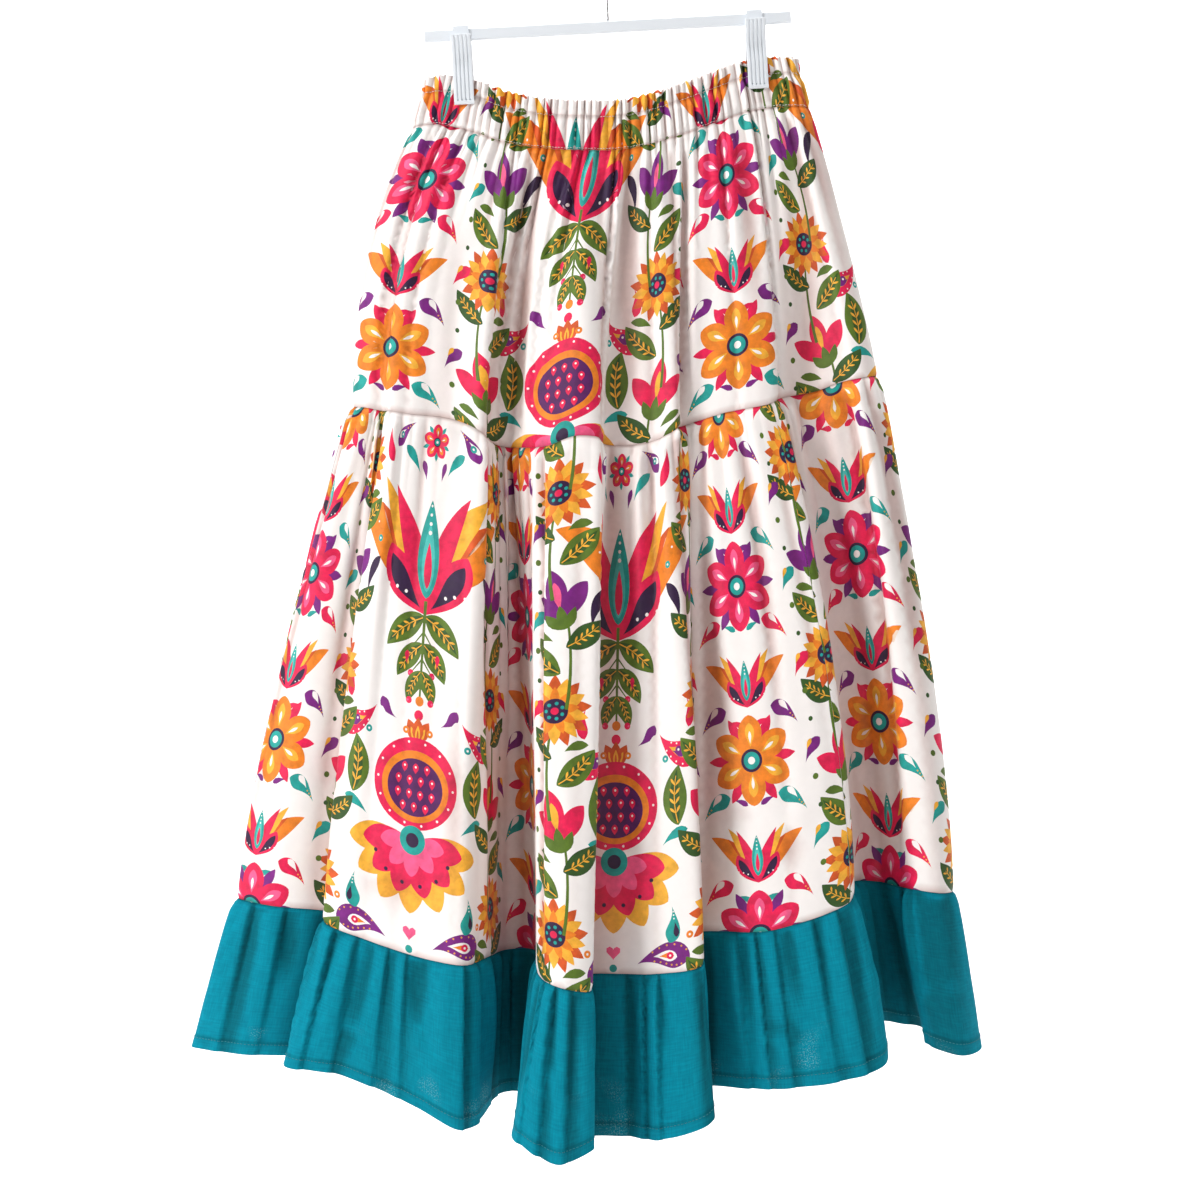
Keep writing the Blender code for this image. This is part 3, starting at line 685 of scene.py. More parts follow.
    def surface(self, column, down):
        """The middle surface and its outward normal at each column and drop."""
        down = np.clip(down, SEAM_GAP / 2, self.drop - SEAM_GAP / 2)
        across = self.points(column + 0.05, down) - self.points(column - 0.05, down)
        below = np.minimum(down + 0.4, self.drop)
        above = np.maximum(down - 0.4, 0)
        drop = self.points(column, below) - self.points(column, above)
        normal = np.cross(across, -drop)
        normal /= np.linalg.norm(normal, axis=1)[:, None]
        return self.points(column, down), normal


CASING = Tier(TOP, CASING_END, CASING_HEIGHT, CASING_GATHERS, grip=True, near_ends=0.3,
              sewn=(FRILL_HEIGHT, CASING_HEIGHT))
TIER_1 = Tier(CASING_END, SEAM_1, TIER_1_DROP, TIER_1_GATHERS, TIER_1_FLARE, TIER_1_CREASES, 5.8,
              near_ends=0.6, sewn=(0, TIER_1_DROP))
TIER_2 = Tier(SEAM_1, SEAM_2, TIER_2_DROP, TIER_2_GATHERS, TIER_2_FLARE, TIER_2_CREASES, 8.0,
              fullness=SEAM_1_FULLNESS, sewn=(0, TIER_2_DROP))
RUFFLE = Tier(SEAM_2, HEM, RUFFLE_DROP, RUFFLE_GATHERS, (1.0, 1.0), RUFFLE_CREASES, 11.0,
              gather_width=RUFFLE_GATHER_WIDTH, pleats=RUFFLE_PLEATS,
              sewn=(0, RUFFLE_DROP - HEM_TURN))


# The print, in millimetres of flat cloth

class Print:
    """A list of flat coloured shapes in paint order, drawn through a stack of moves."""

    def __init__(self):
        self.shapes = []
        self.move = np.eye(3)

    def at(self, x, y, turn=0.0, flip=False):
        """The same print seen from a motif's own place and turn, in degrees."""
        cos = math.cos(math.radians(turn))
        sin = math.sin(math.radians(turn))
        side = -1 if flip else 1
        placed = Print()
        placed.shapes = self.shapes
        placed.move = self.move @ np.array(((cos * side, -sin, x), (sin * side, cos, y), (0, 0, 1)))
        return placed

    def add(self, ink, points):
        points = np.asarray(points, dtype=float)
        moved = points @ self.move[:2, :2].T + self.move[:2, 2]
        self.shapes.append((INK_NAMES.index(ink), moved))

    # Simple shapes. A motif's own +Y is the way it grows.

    def dot(self, ink, x, y, radius, squash=1.0):
        count = 8 if radius < 2.2 else 14 if radius < 6 else 24 if radius < 20 else 40
        turn = np.arange(count) * 2 * math.pi / count
        across, up = radius * np.cos(turn), radius * squash * np.sin(turn)
        self.add(ink, np.stack((x + across, y + up), axis=1))

    def dot_ring(self, ink, count, across, up, radius):
        """Small dots spaced evenly round an ellipse."""
        for number in range(count):
            turn = math.radians(number * 360 / count)
            self.dot(ink, across * math.cos(turn), up * math.sin(turn), radius)

    def spine(self, length, bend, steps):
        """Points along an arc that turns by bend degrees, and its heading at each."""
        share = np.linspace(0, 1, steps)
        part = 0.35 * share + 0.65 * (1 - np.cos(math.pi * share)) / 2
        turn = math.radians(bend) if bend else 1e-6
        x = length / turn * (1 - np.cos(turn * part))
        y = length / turn * np.sin(turn * part)
        return part, math.pi / 2 - turn * part, x, y

    def blade(self, ink, length, width, bend=0.0, fullest=0.6, tip=1.0, steps=9):
        """A leaf, petal or drop, widest at fullest; a smaller tip makes its far end rounder."""
        steps = max(steps, 18) if length > 30 else steps
        part, heading, x, y = self.spine(length, bend, steps)
        power = math.log(0.5) / math.log(fullest)
        half = width / 2 * np.abs(np.sin(math.pi * part ** power)) ** tip
        left = np.stack((x - np.sin(heading) * half, y + np.cos(heading) * half), axis=1)
        right = np.stack((x + np.sin(heading) * half, y - np.cos(heading) * half), axis=1)
        self.add(ink, np.concatenate((left, right[-2:0:-1])))

    def stem(self, ink, length, width, bend=0.0, steps=9):
        part, heading, x, y = self.spine(length, bend, steps)
        half = width / 2 * (1 - 0.45 * part)
        left = np.stack((x - np.sin(heading) * half, y + np.cos(heading) * half), axis=1)
        right = np.stack((x + np.sin(heading) * half, y - np.cos(heading) * half), axis=1)
        self.add(ink, np.concatenate((left, right[::-1])))

    def heart(self, ink, x, y, size):
        turn = np.arange(14) * 2 * math.pi / 14
        across = 16 * np.sin(turn) ** 3
        up = 13 * np.cos(turn) - 5 * np.cos(2 * turn) - 2 * np.cos(3 * turn) - np.cos(4 * turn)
        self.add(ink, np.stack((x + across * size / 32, y + up * size / 32), axis=1))

    # Motifs

    def drop(self, ink, length, bend=40.0, inner="white", dots="amber"):
        """A paisley drop with a lighter drop and a few dots inside."""
        self.blade(ink, length, length * 0.42, bend, fullest=0.72, tip=0.75, steps=11)
        if inner:
            heart = self.at(length * 0.06, length * 0.42)
            heart.blade(inner, length * 0.42, length * 0.17, bend * 0.5, 0.7, 0.8, 8)
        for number in range(3 if dots else 0):
            x, y = length * (0.01 + 0.02 * number), length * (0.16 + 0.09 * number)
            self.dot(dots, x, y, length * 0.022)

    def leaf(self, length, bend=25.0, body="olive", vein="amber"):
        """A leaf with a midrib and side veins."""
        width = length * 0.46
        self.blade(body, length, width, bend, fullest=0.45, tip=0.85, steps=12)
        if body == "olive":
            shade = self.at(0, length * 0.03)
            shade.blade("forest", length * 0.9, width * 0.42, bend * 0.92, 0.42, 0.9, 10)
        self.at(0, length * 0.04).stem(vein, length * 0.78, length * 0.022, bend * 0.82, 8)
        for number in range(4):
            along = length * (0.2 + 0.15 * number)
            lean = math.radians(bend * along / length / 2)
            for side in (-1, 1):
                branch = self.at(along * math.sin(lean), along * math.cos(lean),
                                 turn=-bend * along / length - side * 40)
                branch.blade(vein, length * 0.15, length * 0.045, 0, 0.62, 0.8, 6)

    def rosette(self, radius, petals, ink, inside, between):
        """A round flower of broad petals, each with a paler heart, and thin sepals between them."""
        step = 360 / petals
        for number in range(petals):
            sepal = self.at(0, 0, turn=(number + 0.5) * step)
            sepal.blade(between, radius, radius * 0.22, 0, 0.7, 0.9, 11)
        for number in range(petals):
            petal = self.at(0, 0, turn=number * step)
            petal.blade(ink, radius * 0.94, radius * 3.3 / petals, 0, 0.6, 0.62, 12)
        for number in range(petals):
            petal = self.at(0, radius * 0.01, turn=number * step)
            heart = petal.at(0, radius * 0.27)
            heart.blade(inside, radius * 0.5, radius * 1.3 / petals, 0, 0.62, 0.75, 10)
            petal.at(0, radius * 0.34).blade("white", radius * 0.26, radius * 0.07, 0, 0.6, 0.8, 8)
        self.dot("aubergine", 0, 0, radius * 0.24)
        self.dot("teal", 0, 0, radius * 0.18)
        self.dot("white", 0, 0, radius * 0.08)

    def sunflower(self, radius, petals=9):
        """Two layers of pointed petals round a dark, seeded heart."""
        for layer, (ink, long) in enumerate((("rust", 1.0), ("amber", 0.92), ("orange", 0.66))):
            for number in range(petals):
                petal = self.at(0, 0, turn=(number + 0.5 * layer) * 360 / petals)
                petal.blade(ink, radius * long, radius * long * 0.36, 0, 0.52, 0.9, 10)
        self.dot("aubergine", 0, 0, radius * 0.34)
        self.dot_ring("teal", 7, radius * 0.21, radius * 0.21, radius * 0.05)
        self.dot("crimson", 0, 0, radius * 0.1)

    def bud(self, height, ink, core):
        """A half-open bud of three petals in a green cup."""
        for turn in (-26, 26, 0):
            petal = self.at(0, 0, turn=turn)
            petal.blade(ink, height * (1 - abs(turn) / 180), height * 0.34, -turn, 0.6, 0.8, 11)
        self.at(0, height * 0.28).blade(core, height * 0.5, height * 0.14, 0, 0.6, 0.8, 9)
        for turn in (-48, 48, 0):
            cup = self.at(0, -height * 0.06, turn=turn)
            cup.blade("olive", height * 0.42, height * 0.17, turn / 2, 0.5, 0.9, 8)

    def paisley(self, ink, length, bend=70.0, inner="white", seed="crimson", dots="white"):
        """A large paisley drop, dotted along its edge, with a seed drop inside."""
        self.blade(ink, length, length * 0.46, bend, fullest=0.7, tip=0.7, steps=16)
        part, heading, x, y = self.spine(length, bend, 12)
        for number in range(4, 10):
            reach = length * 0.175 * math.sin(math.pi * part[number] ** 1.94) ** 0.7
            for side in (-1, 1):
                self.dot(dots, x[number] + side * reach * math.sin(heading[number]),
                         y[number] - side * reach * math.cos(heading[number]), length * 0.017)
        core = self.at(x[4], y[4], turn=-bend * 0.4)
        core.blade(inner, length * 0.44, length * 0.19, bend * 0.42, 0.68, 0.7, 11)
        grain = core.at(length * 0.02, length * 0.1)
        grain.blade(seed, length * 0.28, length * 0.1, bend * 0.3, 0.68, 0.75, 9)

    def spray(self, length, pairs=3):
        """A stem with arching leaves in pairs and berries on short stalks."""
        self.stem("olive", length, 3.4, 0, 9)
        for number in range(pairs):
            along = length * (0.16 + 0.27 * number)
            long = length * (0.56 - 0.1 * number)
            for side in (-1, 1):
                self.at(0, along, turn=-side * (70 - 14 * number)).leaf(long, -side * 34)
                berry = self.at(0, along + length * 0.15, turn=-side * 40)
                berry.stem("olive", length * 0.2, 1.6, 0, 6)
                berry.dot("crimson", 0, length * 0.2, length * 0.036)
                berry.dot("rose", -1, length * 0.2 + 1, length * 0.012)
        self.dot("orange", 0, length, length * 0.05)

    def half_blossom(self, radius):
        """Half an open flower in three layers of broad petals."""
        layers = (("amber", 1.0, 7, 0.42), ("crimson", 0.78, 6, 0.36), ("rose", 0.5, 5, 0.24))
        for ink, long, petals, wide in layers:
            for number in range(petals):
                petal = self.at(0, 0, turn=164 * (number / (petals - 1) - 0.5))
                petal.blade(ink, radius * long, radius * wide, 0, 0.62, 0.66, 12)
        for number in range(6):
            turn = math.radians(130 * (number / 5 - 0.5))
            out = radius * 0.62
            self.dot("aubergine", out * math.sin(turn), out * math.cos(turn), radius * 0.03)
        self.dot("teal", 0, 0, radius * 0.2)
        self.dot("aubergine", 0, 0, radius * 0.1)

    def tulip(self, height):
        """A tall tulip with layered petals and a seed drop at its heart."""
        for side in (False, True):
            half = self.at(0, 0, flip=side)
            half.at(0, 0, turn=27).blade("orange", height, height * 0.28, -40, 0.5, 0.85, 12)
            half.at(0, 0, turn=20).blade("rust", height * 0.8, height * 0.13, -30, 0.5, 0.9, 10)
            inner = half.at(-height * 0.03, height * 0.06, turn=17)
            inner.blade("amber", height * 0.86, height * 0.16, -24, 0.5, 0.9, 11)
        self.blade("white", height * 0.96, height * 0.3, 0, 0.42, 0.9, 12)
        for side in (False, True):
            half = self.at(0, 0, flip=side)
            half.at(0, 0, turn=12).blade("crimson", height * 0.84, height * 0.16, -20, 0.42, 0.9, 11)
            half.at(0, 0, turn=52).blade("crimson", height * 0.52, height * 0.22, 30, 0.6, 0.8, 11)
            cup = half.at(-height * 0.04, height * 0.04, turn=52)
            cup.blade("aubergine", height * 0.4, height * 0.12, 26, 0.62, 0.8, 10)
            for number in range(4):
                spot = half.at(0, 0, turn=50 + 6 * number)
                spot.dot("white", 0, height * (0.2 + 0.07 * number), height * 0.012)
        self.at(0, height * 0.1).blade("teal", height * 0.6, height * 0.17, 0, 0.4, 0.85, 11)
        self.at(0, height * 0.14).blade("aqua", height * 0.42, height * 0.1, 0, 0.4, 0.85, 10)
        self.at(0, height * 0.16).blade("crimson", height * 0.28, height * 0.06, 0, 0.4, 0.85, 9)
        for number in range(4):
            self.dot("white", 0, height * (0.5 + 0.055 * number), height * (0.014 - 0.002 * number))

    def pomegranate(self, radius):
        """A round fruit with a crown, cut open on rows of seeds."""
        for turn in (-28, 0, 28):
            crown = self.at(0, radius * 0.82, turn=turn)
            crown.blade("rust", radius * 0.55, radius * 0.28, 0, 0.5, 0.9, 8)
            crown.blade("amber", radius * 0.38, radius * 0.13, 0, 0.5, 0.9, 7)
        self.dot("crimson", 0, 0, radius, 0.95)
        self.dot("orange", 0, -radius * 0.06, radius * 0.8, 0.92)
        self.dot("plum", 0, -radius * 0.08, radius * 0.66, 0.9)
        for row, count in ((0.36, 3), (0.1, 4), (-0.18, 4), (-0.44, 3)):
            for number in range(count):
                x = (number - (count - 1) / 2) * radius * 0.27
                seed = self.at(x, radius * (row - 0.16))
                seed.blade("crimson", radius * 0.22, radius * 0.15, 0, 0.6, 0.7, 7)
                self.dot("white", x, radius * (row - 0.02), radius * 0.025)
        self.dot_ring("white", 14, radius * 0.9, radius * 0.86, radius * 0.028)


def half_strip():
    """One half repeat of the tall print: x from mirror line A to mirror line B, y up."""
    art = Print()
    # Mirror line A, at x = 0, from the top down
    art.at(0, 292).tulip(142)
    art.at(0, 304, turn=180).spray(86)
    art.dot("crimson", 0, 206, 4.6)
    art.at(0, 148).pomegranate(41)
    art.at(0, 100, turn=180).half_blossom(62)
    art.heart("rose", 0, 22, 13)
    art.dot("teal", 0, 8, 3.4)
    art.at(0, 442).rosette(17, 5, "crimson", "orange", "teal")
    art.at(17, 414, turn=-24).blade("teal", 30, 9, 30, 0.7, 0.75, 9)
    art.at(9, 408, turn=-6).blade("purple", 18, 6, 20, 0.7, 0.75, 8)
    # Beside A: drops and leaves that fill the corners of its motifs
    art.at(22, 12, turn=-58).paisley("purple", 50, 60, "white", "orange", "amber")
    art.at(44, 208, turn=-150).paisley("crimson", 50, -64, "amber", "purple")
    art.at(62, 128, turn=16).leaf(52, 36)
    art.at(46, 112, turn=-40).blade("teal", 28, 9, 50, 0.7, 0.75, 9)
    art.at(22, 200, turn=-70).drop("purple", 24, -50, "white", None)
    art.at(54, 60, turn=-162).drop("teal", 32, 46, "aubergine", "white")
    art.at(26, 458, turn=-112).drop("purple", 34, 44, "white", "amber")
    art.at(66, 452, turn=-176).blade("crimson", 34, 12, 50, 0.7, 0.75, 10)
    art.at(70, 300, turn=-8).blade("aubergine", 40, 10, -56, 0.7, 0.8, 10)
    art.at(74, 234, turn=-150).blade("crimson", 26, 10, 56, 0.7, 0.75, 9)
    art.at(16, 248).blade("crimson", 12, 5, 0, 0.7, 0.8, 7)
    for x, y, ink in ((52, 18, "crimson"), (70, 34, "orange"), (50, 186, "teal"), (64, 192, "purple"),
                      (60, 352, "teal"), (66, 366, "orange"), (44, 446, "teal"), (12, 192, "orange")):
        art.dot(ink, x, y, 3.2)
        art.dot("white", x, y, 1.1)
    # The vine of sunflowers and buds
    for number in range(6):
        y = VINE_FOOT + VINE_STEP * number
        side = 1 if number % 2 else -1
        x = VINE_LINE - side * 3
        art.at(x - side * 3, y - 92, turn=side * 9).stem("olive", 92, 3.0, side * 22, 12)
        art.at(x + side * 2, y - 62, turn=-side * 58).leaf(45, -side * 26)
        art.at(x - side * 2, y - 40, turn=side * 66).leaf(40, side * 30, "forest")
        art.at(x + side * 8, y - 34, turn=-side * 52).blade("olive", 22, 8, side * 40, 0.6, 0.8, 8)
        if number % 2:
            inks = ("crimson", "amber") if number % 4 == 1 else ("purple", "rose")
            art.at(x, y - 22, turn=-side * 12).bud(50, *inks)
        else:
            art.at(x, y).sunflower(31)
    # Between the vine and B
    for number in range(6):
        y = ROSETTE_STEP * (number / 2 + 0.25)
        ink, other = (("crimson", "teal"), ("teal", "purple"), ("purple", "crimson"))[number % 3]
        art.at(141, y - 14, turn=-26).drop(ink, 34, 52, "white", "amber")
        art.at(138, y + 26, turn=20).drop(other, 26, -44, "amber", None)
        art.dot("olive", 130, y + 12, 2.8)
        art.dot("forest", 128, y - 14, 2.2)
        art.at(170, y + (4 if number % 2 else -4), turn=-90).blade(other, 15, 5.5, 40, 0.7, 0.75, 7)
    # Mirror line B: rosettes and tulips in turn
    for number in range(4):
        inks = ("crimson", "rose", "purple") if number % 2 == 0 else ("orange", "amber", "crimson")
        art.at(HALF_PERIOD, ROSETTE_STEP * number).rosette(43, 6, *inks)
        art.at(HALF_PERIOD, ROSETTE_STEP * number + 47).tulip(60)
    return art.shapes


# Flat meshes

def lattice(width, height, rows):
    """Points over a flat piece: rows is a table of drop, spacing across and spacing down."""
    row_drops, spacings, steps = zip(*rows)
    drops = [0.0]
    while drops[-1] < height:
        drops.append(drops[-1] + np.interp(drops[-1], row_drops, steps))
    drops = np.array(drops) * height / drops[-1]
    points = []
    for number, drop in enumerate(drops):
        spacing = np.interp(drop, row_drops, spacings)
        count = max(2, round(width / spacing))
        across = np.linspace(0, width, count + 1)
        if number % 2 and number < len(drops) - 1:
            across = np.concatenate(([0], (across[1:] + across[:-1]) / 2, [width]))
        points += [(x, drop) for x in across]
    return points


def thinned(outline, tolerance):
    """An outline without the points that it hardly needs, never two in a row."""
    for _ in range(3):
        before, after = np.roll(outline, 1, axis=0), np.roll(outline, -1, axis=0)
        chord = after - before
        step = outline - before
        length = np.maximum(np.linalg.norm(chord, axis=1), 1e-6)
        away = abs(step[:, 0] * chord[:, 1] - step[:, 1] * chord[:, 0]) / length
        spare = away < tolerance
        spare[::2] = False
        if len(outline) - spare.sum() < 6 or not spare.any():
            break
        outline = outline[~spare]
    return outline


def printed_strip(shapes, foot, height, rows, tolerance):
    """A half repeat of the print cut to a height: its points (x, down), triangles and inks."""
    corners = [(0, 0), (HALF_PERIOD, 0), (HALF_PERIOD, height), (0, height)]
    points = list(corners)
    faces = [[0, 1, 2, 3]]
    inks = [0]
    for ink, outline in shapes:
        outline = thinned(outline, tolerance)
        down = foot + height - outline[:, 1]
        across, ahead = outline[:, 0], np.roll(outline[:, 0], -1)
        if down.max() < 0 or down.min() > height or across.max() < 0 or across.min() > HALF_PERIOD:
            continue
        # An outline that runs the wrong way round would colour everything outside it
        if (across * np.roll(down, -1) - ahead * down).sum() < 0:
            across, down = across[::-1], down[::-1]
        faces.append(list(range(len(points), len(points) + len(outline))))
        inks.append(ink)
        points += list(zip(across.tolist(), down.tolist()))
    points += lattice(HALF_PERIOD, height, rows)
    found = delaunay_2d_cdt([Vector(point) for point in points], [], faces, 0, 1e-3, True)
    verts = np.array([tuple(vert) for vert in found[0]])
    kept = [(face, inks[max(covers)]) for face, covers in zip(found[2], found[5]) if 0 in covers]
    triangles = np.array([face for face, ink in kept])
    used, index = np.unique(triangles, return_inverse=True)
    return verts[used], index.reshape(-1, 3), np.array([ink for face, ink in kept])


def plain_sheet(width, height, rows):
    """A plain flat piece: its points (x, down), triangles and inks."""
    points = [(0, 0), (width, 0), (width, height), (0, height)] + lattice(width, height, rows)
    found = delaunay_2d_cdt([Vector(point) for point in points], [], [[0, 1, 2, 3]], 0, 1e-3, True)
    verts = np.array([tuple(vert) for vert in found[0]])
    triangles = np.array([face for face, covers in zip(found[2], found[5]) if 0 in covers])
    return verts, triangles, np.zeros(len(triangles), dtype=int)


def merge_points(verts, triangles):
    """Joins points that lie in the same place."""
    keys = np.round(verts * 200).astype(np.int64)
    _, first, index = np.unique(keys, axis=0, return_index=True, return_inverse=True)
    return verts[first], index.reshape(-1)[triangles]


def cut_sides(verts, triangles, inks, start, end):
    """Trims a flat piece to the cloth between two lines x = start and x = end."""
    mesh = bpy.data.meshes.new("cut")
    mesh.from_pydata(np.column_stack((verts, np.zeros(len(verts)))).tolist(), [], triangles.tolist())
    mesh.attributes.new("ink", "INT", "FACE").data.foreach_set("value", inks.astype(np.int32))
    shape = bmesh.new()
    shape.from_mesh(mesh)
    for x, normal in ((start, (-1, 0, 0)), (end, (1, 0, 0))):
        geometry = shape.verts[:] + shape.edges[:] + shape.faces[:]
        bmesh.ops.bisect_plane(shape, geom=geometry, dist=1e-4, plane_co=(x, 0, 0), plane_no=normal,
                               clear_outer=True)
    bmesh.ops.triangulate(shape, faces=shape.faces)
    shape.to_mesh(mesh)
    shape.free()
    flat = np.zeros(len(mesh.vertices) * 3)
    mesh.vertices.foreach_get("co", flat)
    corners = np.zeros(len(mesh.polygons) * 3, dtype=np.int32)
    mesh.polygons.foreach_get("vertices", corners)
    inks = np.zeros(len(mesh.polygons), dtype=np.int32)
    mesh.attributes["ink"].data.foreach_get("value", inks)
    bpy.data.meshes.remove(mesh)
    return flat.reshape(-1, 3)[:, :2], corners.reshape(-1, 3), inks


def printed_panel(strip, start, width):
    """Repeats the half strip, mirrored in turn, and trims it to one panel of cloth."""
    verts, triangles, inks = strip
    all_verts = []
    all_triangles = []
    all_inks = []
    first = math.floor(start / HALF_PERIOD)
    last = math.ceil((start + width) / HALF_PERIOD)
    for number in range(first, last):
        placed = verts.copy()
        turned = triangles
        if number % 2:
            placed[:, 0] = HALF_PERIOD * (number + 1) - verts[:, 0]
            turned = triangles[:, ::-1]
        else:
            placed[:, 0] = HALF_PERIOD * number + verts[:, 0]
        all_triangles.append(turned + sum(len(part) for part in all_verts))
        all_verts.append(placed)
        all_inks.append(inks)
    verts, triangles = merge_points(np.concatenate(all_verts), np.concatenate(all_triangles))
    verts, triangles, inks = cut_sides(verts, triangles, np.concatenate(all_inks), start, start + width)
    verts[:, 0] -= start
    return verts, triangles, inks


# Shells

def border_order(verts, width, height):
    """The points on a flat piece's border, in order round it."""
    x, y = verts.T
    near = 1e-3
    along = np.full(len(verts), -1.0)
    along[x > width - near] = (width + y)[x > width - near]
    along[x < near] = (2 * width + 2 * height - y)[x < near]
    along[y > height - near] = (2 * width + height - x)[y > height - near]
    along[y < near] = x[y < near]
    border = np.nonzero(along >= 0)[0]
    return border[np.argsort(along[border], kind="stable")]


def inner_sheet(verts, border, width, height, rows):
    """A sheet with the same border but no print, for the cloth's inner side."""
    points = [tuple(verts[index]) for index in border]
    margin = 1.0
    for x, y in lattice(width, height, rows):
        if margin < x < width - margin and margin < y < height - margin:
            points.append((x, y))
    outline = list(range(len(border)))
    found = delaunay_2d_cdt([Vector(point) for point in points], [], [outline], 0, 1e-4, True)
    inner = np.array([tuple(vert) for vert in found[0]])
    triangles = np.array([face for face, covers in zip(found[2], found[5]) if covers])
    source = [list(ids) for ids in found[3]]
    return inner, triangles, source


def wound(verts, triangles, way):
    """The triangles turned so that all run the same way round: 1 or -1."""
    a, b, c = [verts[triangles[:, corner]] for corner in range(3)]
    turn = (b - a)[:, 0] * (c - a)[:, 1] - (b - a)[:, 1] * (c - a)[:, 0]
    kept = turn > 0 if way > 0 else turn <= 0
    return np.where(kept[:, None], triangles, triangles[:, ::-1])


def half_thickness(tier, down):
    """Half the cloth's thickness, more where the ruffle's hem is turned."""
    if tier is not RUFFLE:
        return np.full(len(down), CLOTH / 2)
    turned = np.clip((down - (RUFFLE_DROP - HEM_TURN)) / 0.8 + 0.5, 0, 1)
    return CLOTH / 2 + (HEM_CLOTH - CLOTH) / 2 * turned


def shell(name, tier, start_column, end_column, flat, rows, material, plain=False):
    """A closed thin shell from a flat piece, laid on its tier's form."""
    verts, triangles, inks = flat
    cloth_from, cloth_to = tier.cloth_at(np.array((start_column, end_column), dtype=float))
    width = verts[:, 0].max()
    height = tier.drop
    verts = verts.copy()
    verts[:, 1] = np.clip(verts[:, 1], 0, height)
    border = border_order(verts, width, height)
    inner, inner_triangles, source = inner_sheet(verts, border, width, height, rows)
    palette = np.array(list(INKS.values())) / 255
    white = palette[0]

    def place(flat_points, side):
        share = flat_points[:, 0] / width
        end_gap = SEAM_GAP / 2 / (cloth_to - cloth_from)
        share = np.clip(share, end_gap, 1 - end_gap)
        column = tier.column_at(cloth_from + share * (cloth_to - cloth_from))
        points, normals = tier.surface(column, flat_points[:, 1])
        half = half_thickness(tier, flat_points[:, 1])
        if side < 0:
            x, y = flat_points.T
            from_edge = np.minimum(np.minimum(x, width - x), np.minimum(y, height - y))
            half = half + INNER_CLEARANCE * np.clip(from_edge / INNER_EDGE, 0, 1)
        # Painted shade: the colour is darkened deep in folds and gathers, along seams and at pleats'
        # edges
        light = 1 - tier.shade(column, flat_points[:, 1])[:, None] * SHADE_LOSS
        return points + normals * (side * half)[:, None], normals * side, light

    outer_points, outer_normals, outer_painted_light = place(verts, 1)
    inner_points, inner_normals, inner_painted_light = place(inner, -1)
    offset = len(verts)
    # The two sheets' flat triangles wind the same way, so one of them is turned over
    outer_faces = wound(verts, triangles, -1)
    inner_faces = wound(inner, inner_triangles, 1) + offset
    partner = {}
    for index, ids in enumerate(source):
        for number in ids:
            if number < len(border):
                partner[border[number]] = index + offset
    rim = []
    for first, second in zip(border, np.roll(border, -1)):
        a, b = partner[first], partner[second]
        rim.append((first, second, b))
        rim.append((first, b, a))
    rim = np.array(rim)
    faces = np.concatenate((outer_faces, inner_faces, rim))
    points = np.concatenate((outer_points, inner_points)) * MM
    normals = np.concatenate((outer_normals, inner_normals))

    mesh = bpy.data.meshes.new(name)
    mesh.from_pydata(points.tolist(), [], faces.tolist())
    mesh.update(calc_edges=True)
    mesh.validate()
    mesh.shade_smooth()
    mesh.normals_split_custom_set_from_vertices(normals.tolist())
    flat_all = np.concatenate((verts, inner))
    size = max(width, height)
    corners = faces.reshape(-1)
    uv = mesh.uv_layers.new(name="OFBake")
    uv.data.foreach_set("uv", (flat_all[corners] / size).astype(np.float32).reshape(-1))
    colours = np.ones((len(faces), 3, 4), dtype=np.float32)
    if not plain:
        centres = verts[triangles].mean(axis=1)
        tree = kdtree.KDTree(len(centres))
        for index, centre in enumerate(centres):
            tree.insert((centre[0], centre[1], 0), index)
        tree.balance()
        pale = []
        for x, y in inner:
            near = [inks[index] for _, index, _ in tree.find_n((x, y, 0), 6)]
            pale.append(white * (1 - SHOW_THROUGH) + palette[near].mean(axis=0) * SHOW_THROUGH)
        pale = np.array(pale)
        outer_end = len(outer_faces)
        inner_end = outer_end + len(inner_faces)
        colours[:, :, :3] = white
        colours[:outer_end, :, :3] = palette[inks][:, None]
        colours[outer_end:inner_end, :, :3] = pale[inner_faces - offset]
    # The painted shade is multiplied into every face's colour
    colours[:, :, :3] *= np.concatenate((outer_painted_light, inner_painted_light))[faces]
    # The attribute named Print holds the print with its painted shade, or on plain cloth the painted
    # shade alone
    attribute = mesh.color_attributes.new("Print", "BYTE_COLOR", "CORNER")
    attribute.data.foreach_set("color_srgb", colours.reshape(-1))
    mesh.materials.append(material)
    piece = bpy.data.objects.new(name, mesh)
    bpy.context.scene.collection.objects.link(piece)
    return piece


# Materials

def new_material(name, colour, roughness, metallic=0.0):
    material = bpy.data.materials.new(name)
    material.use_nodes = True
    shader = material.node_tree.nodes["Principled BSDF"]
    shader.inputs["Base Color"].default_value = (*colour, 1.0)
    shader.inputs["Roughness"].default_value = roughness
    shader.inputs["Metallic"].default_value = metallic
    return material, shader


def node(material, kind, **settings):
    made = material.node_tree.nodes.new(kind)
    for key, value in settings.items():
        if key in made.inputs:
            made.inputs[key].default_value = value
        else:
            setattr(made, key, value)
    return made


def link(material, start, end):
    material.node_tree.links.new(start, end)


def combined(material, operation, first, second):
    """The sum or the product of two values."""
    made = node(material, "ShaderNodeMath", operation=operation)
    link(material, first, made.inputs[0])
    link(material, second, made.inputs[1])
    return made.outputs[0]


def ranged(material, value, low=0.0, high=1.0, new_low=0.0, new_high=1.0):
    """A value moved from one range to another."""
    made = node(material, "ShaderNodeMapRange")
    limits = {"From Min": low, "From Max": high, "To Min": new_low, "To Max": new_high}
    for key, limit in limits.items():
        made.inputs[key].default_value = limit
    link(material, value, made.inputs["Value"])
    return made.outputs["Result"]


def noise(material, place, **settings):
    """A noise read at a place."""
    made = node(material, "ShaderNodeTexNoise", **settings)
    link(material, place, made.inputs["Vector"])
    return made.outputs["Fac"]


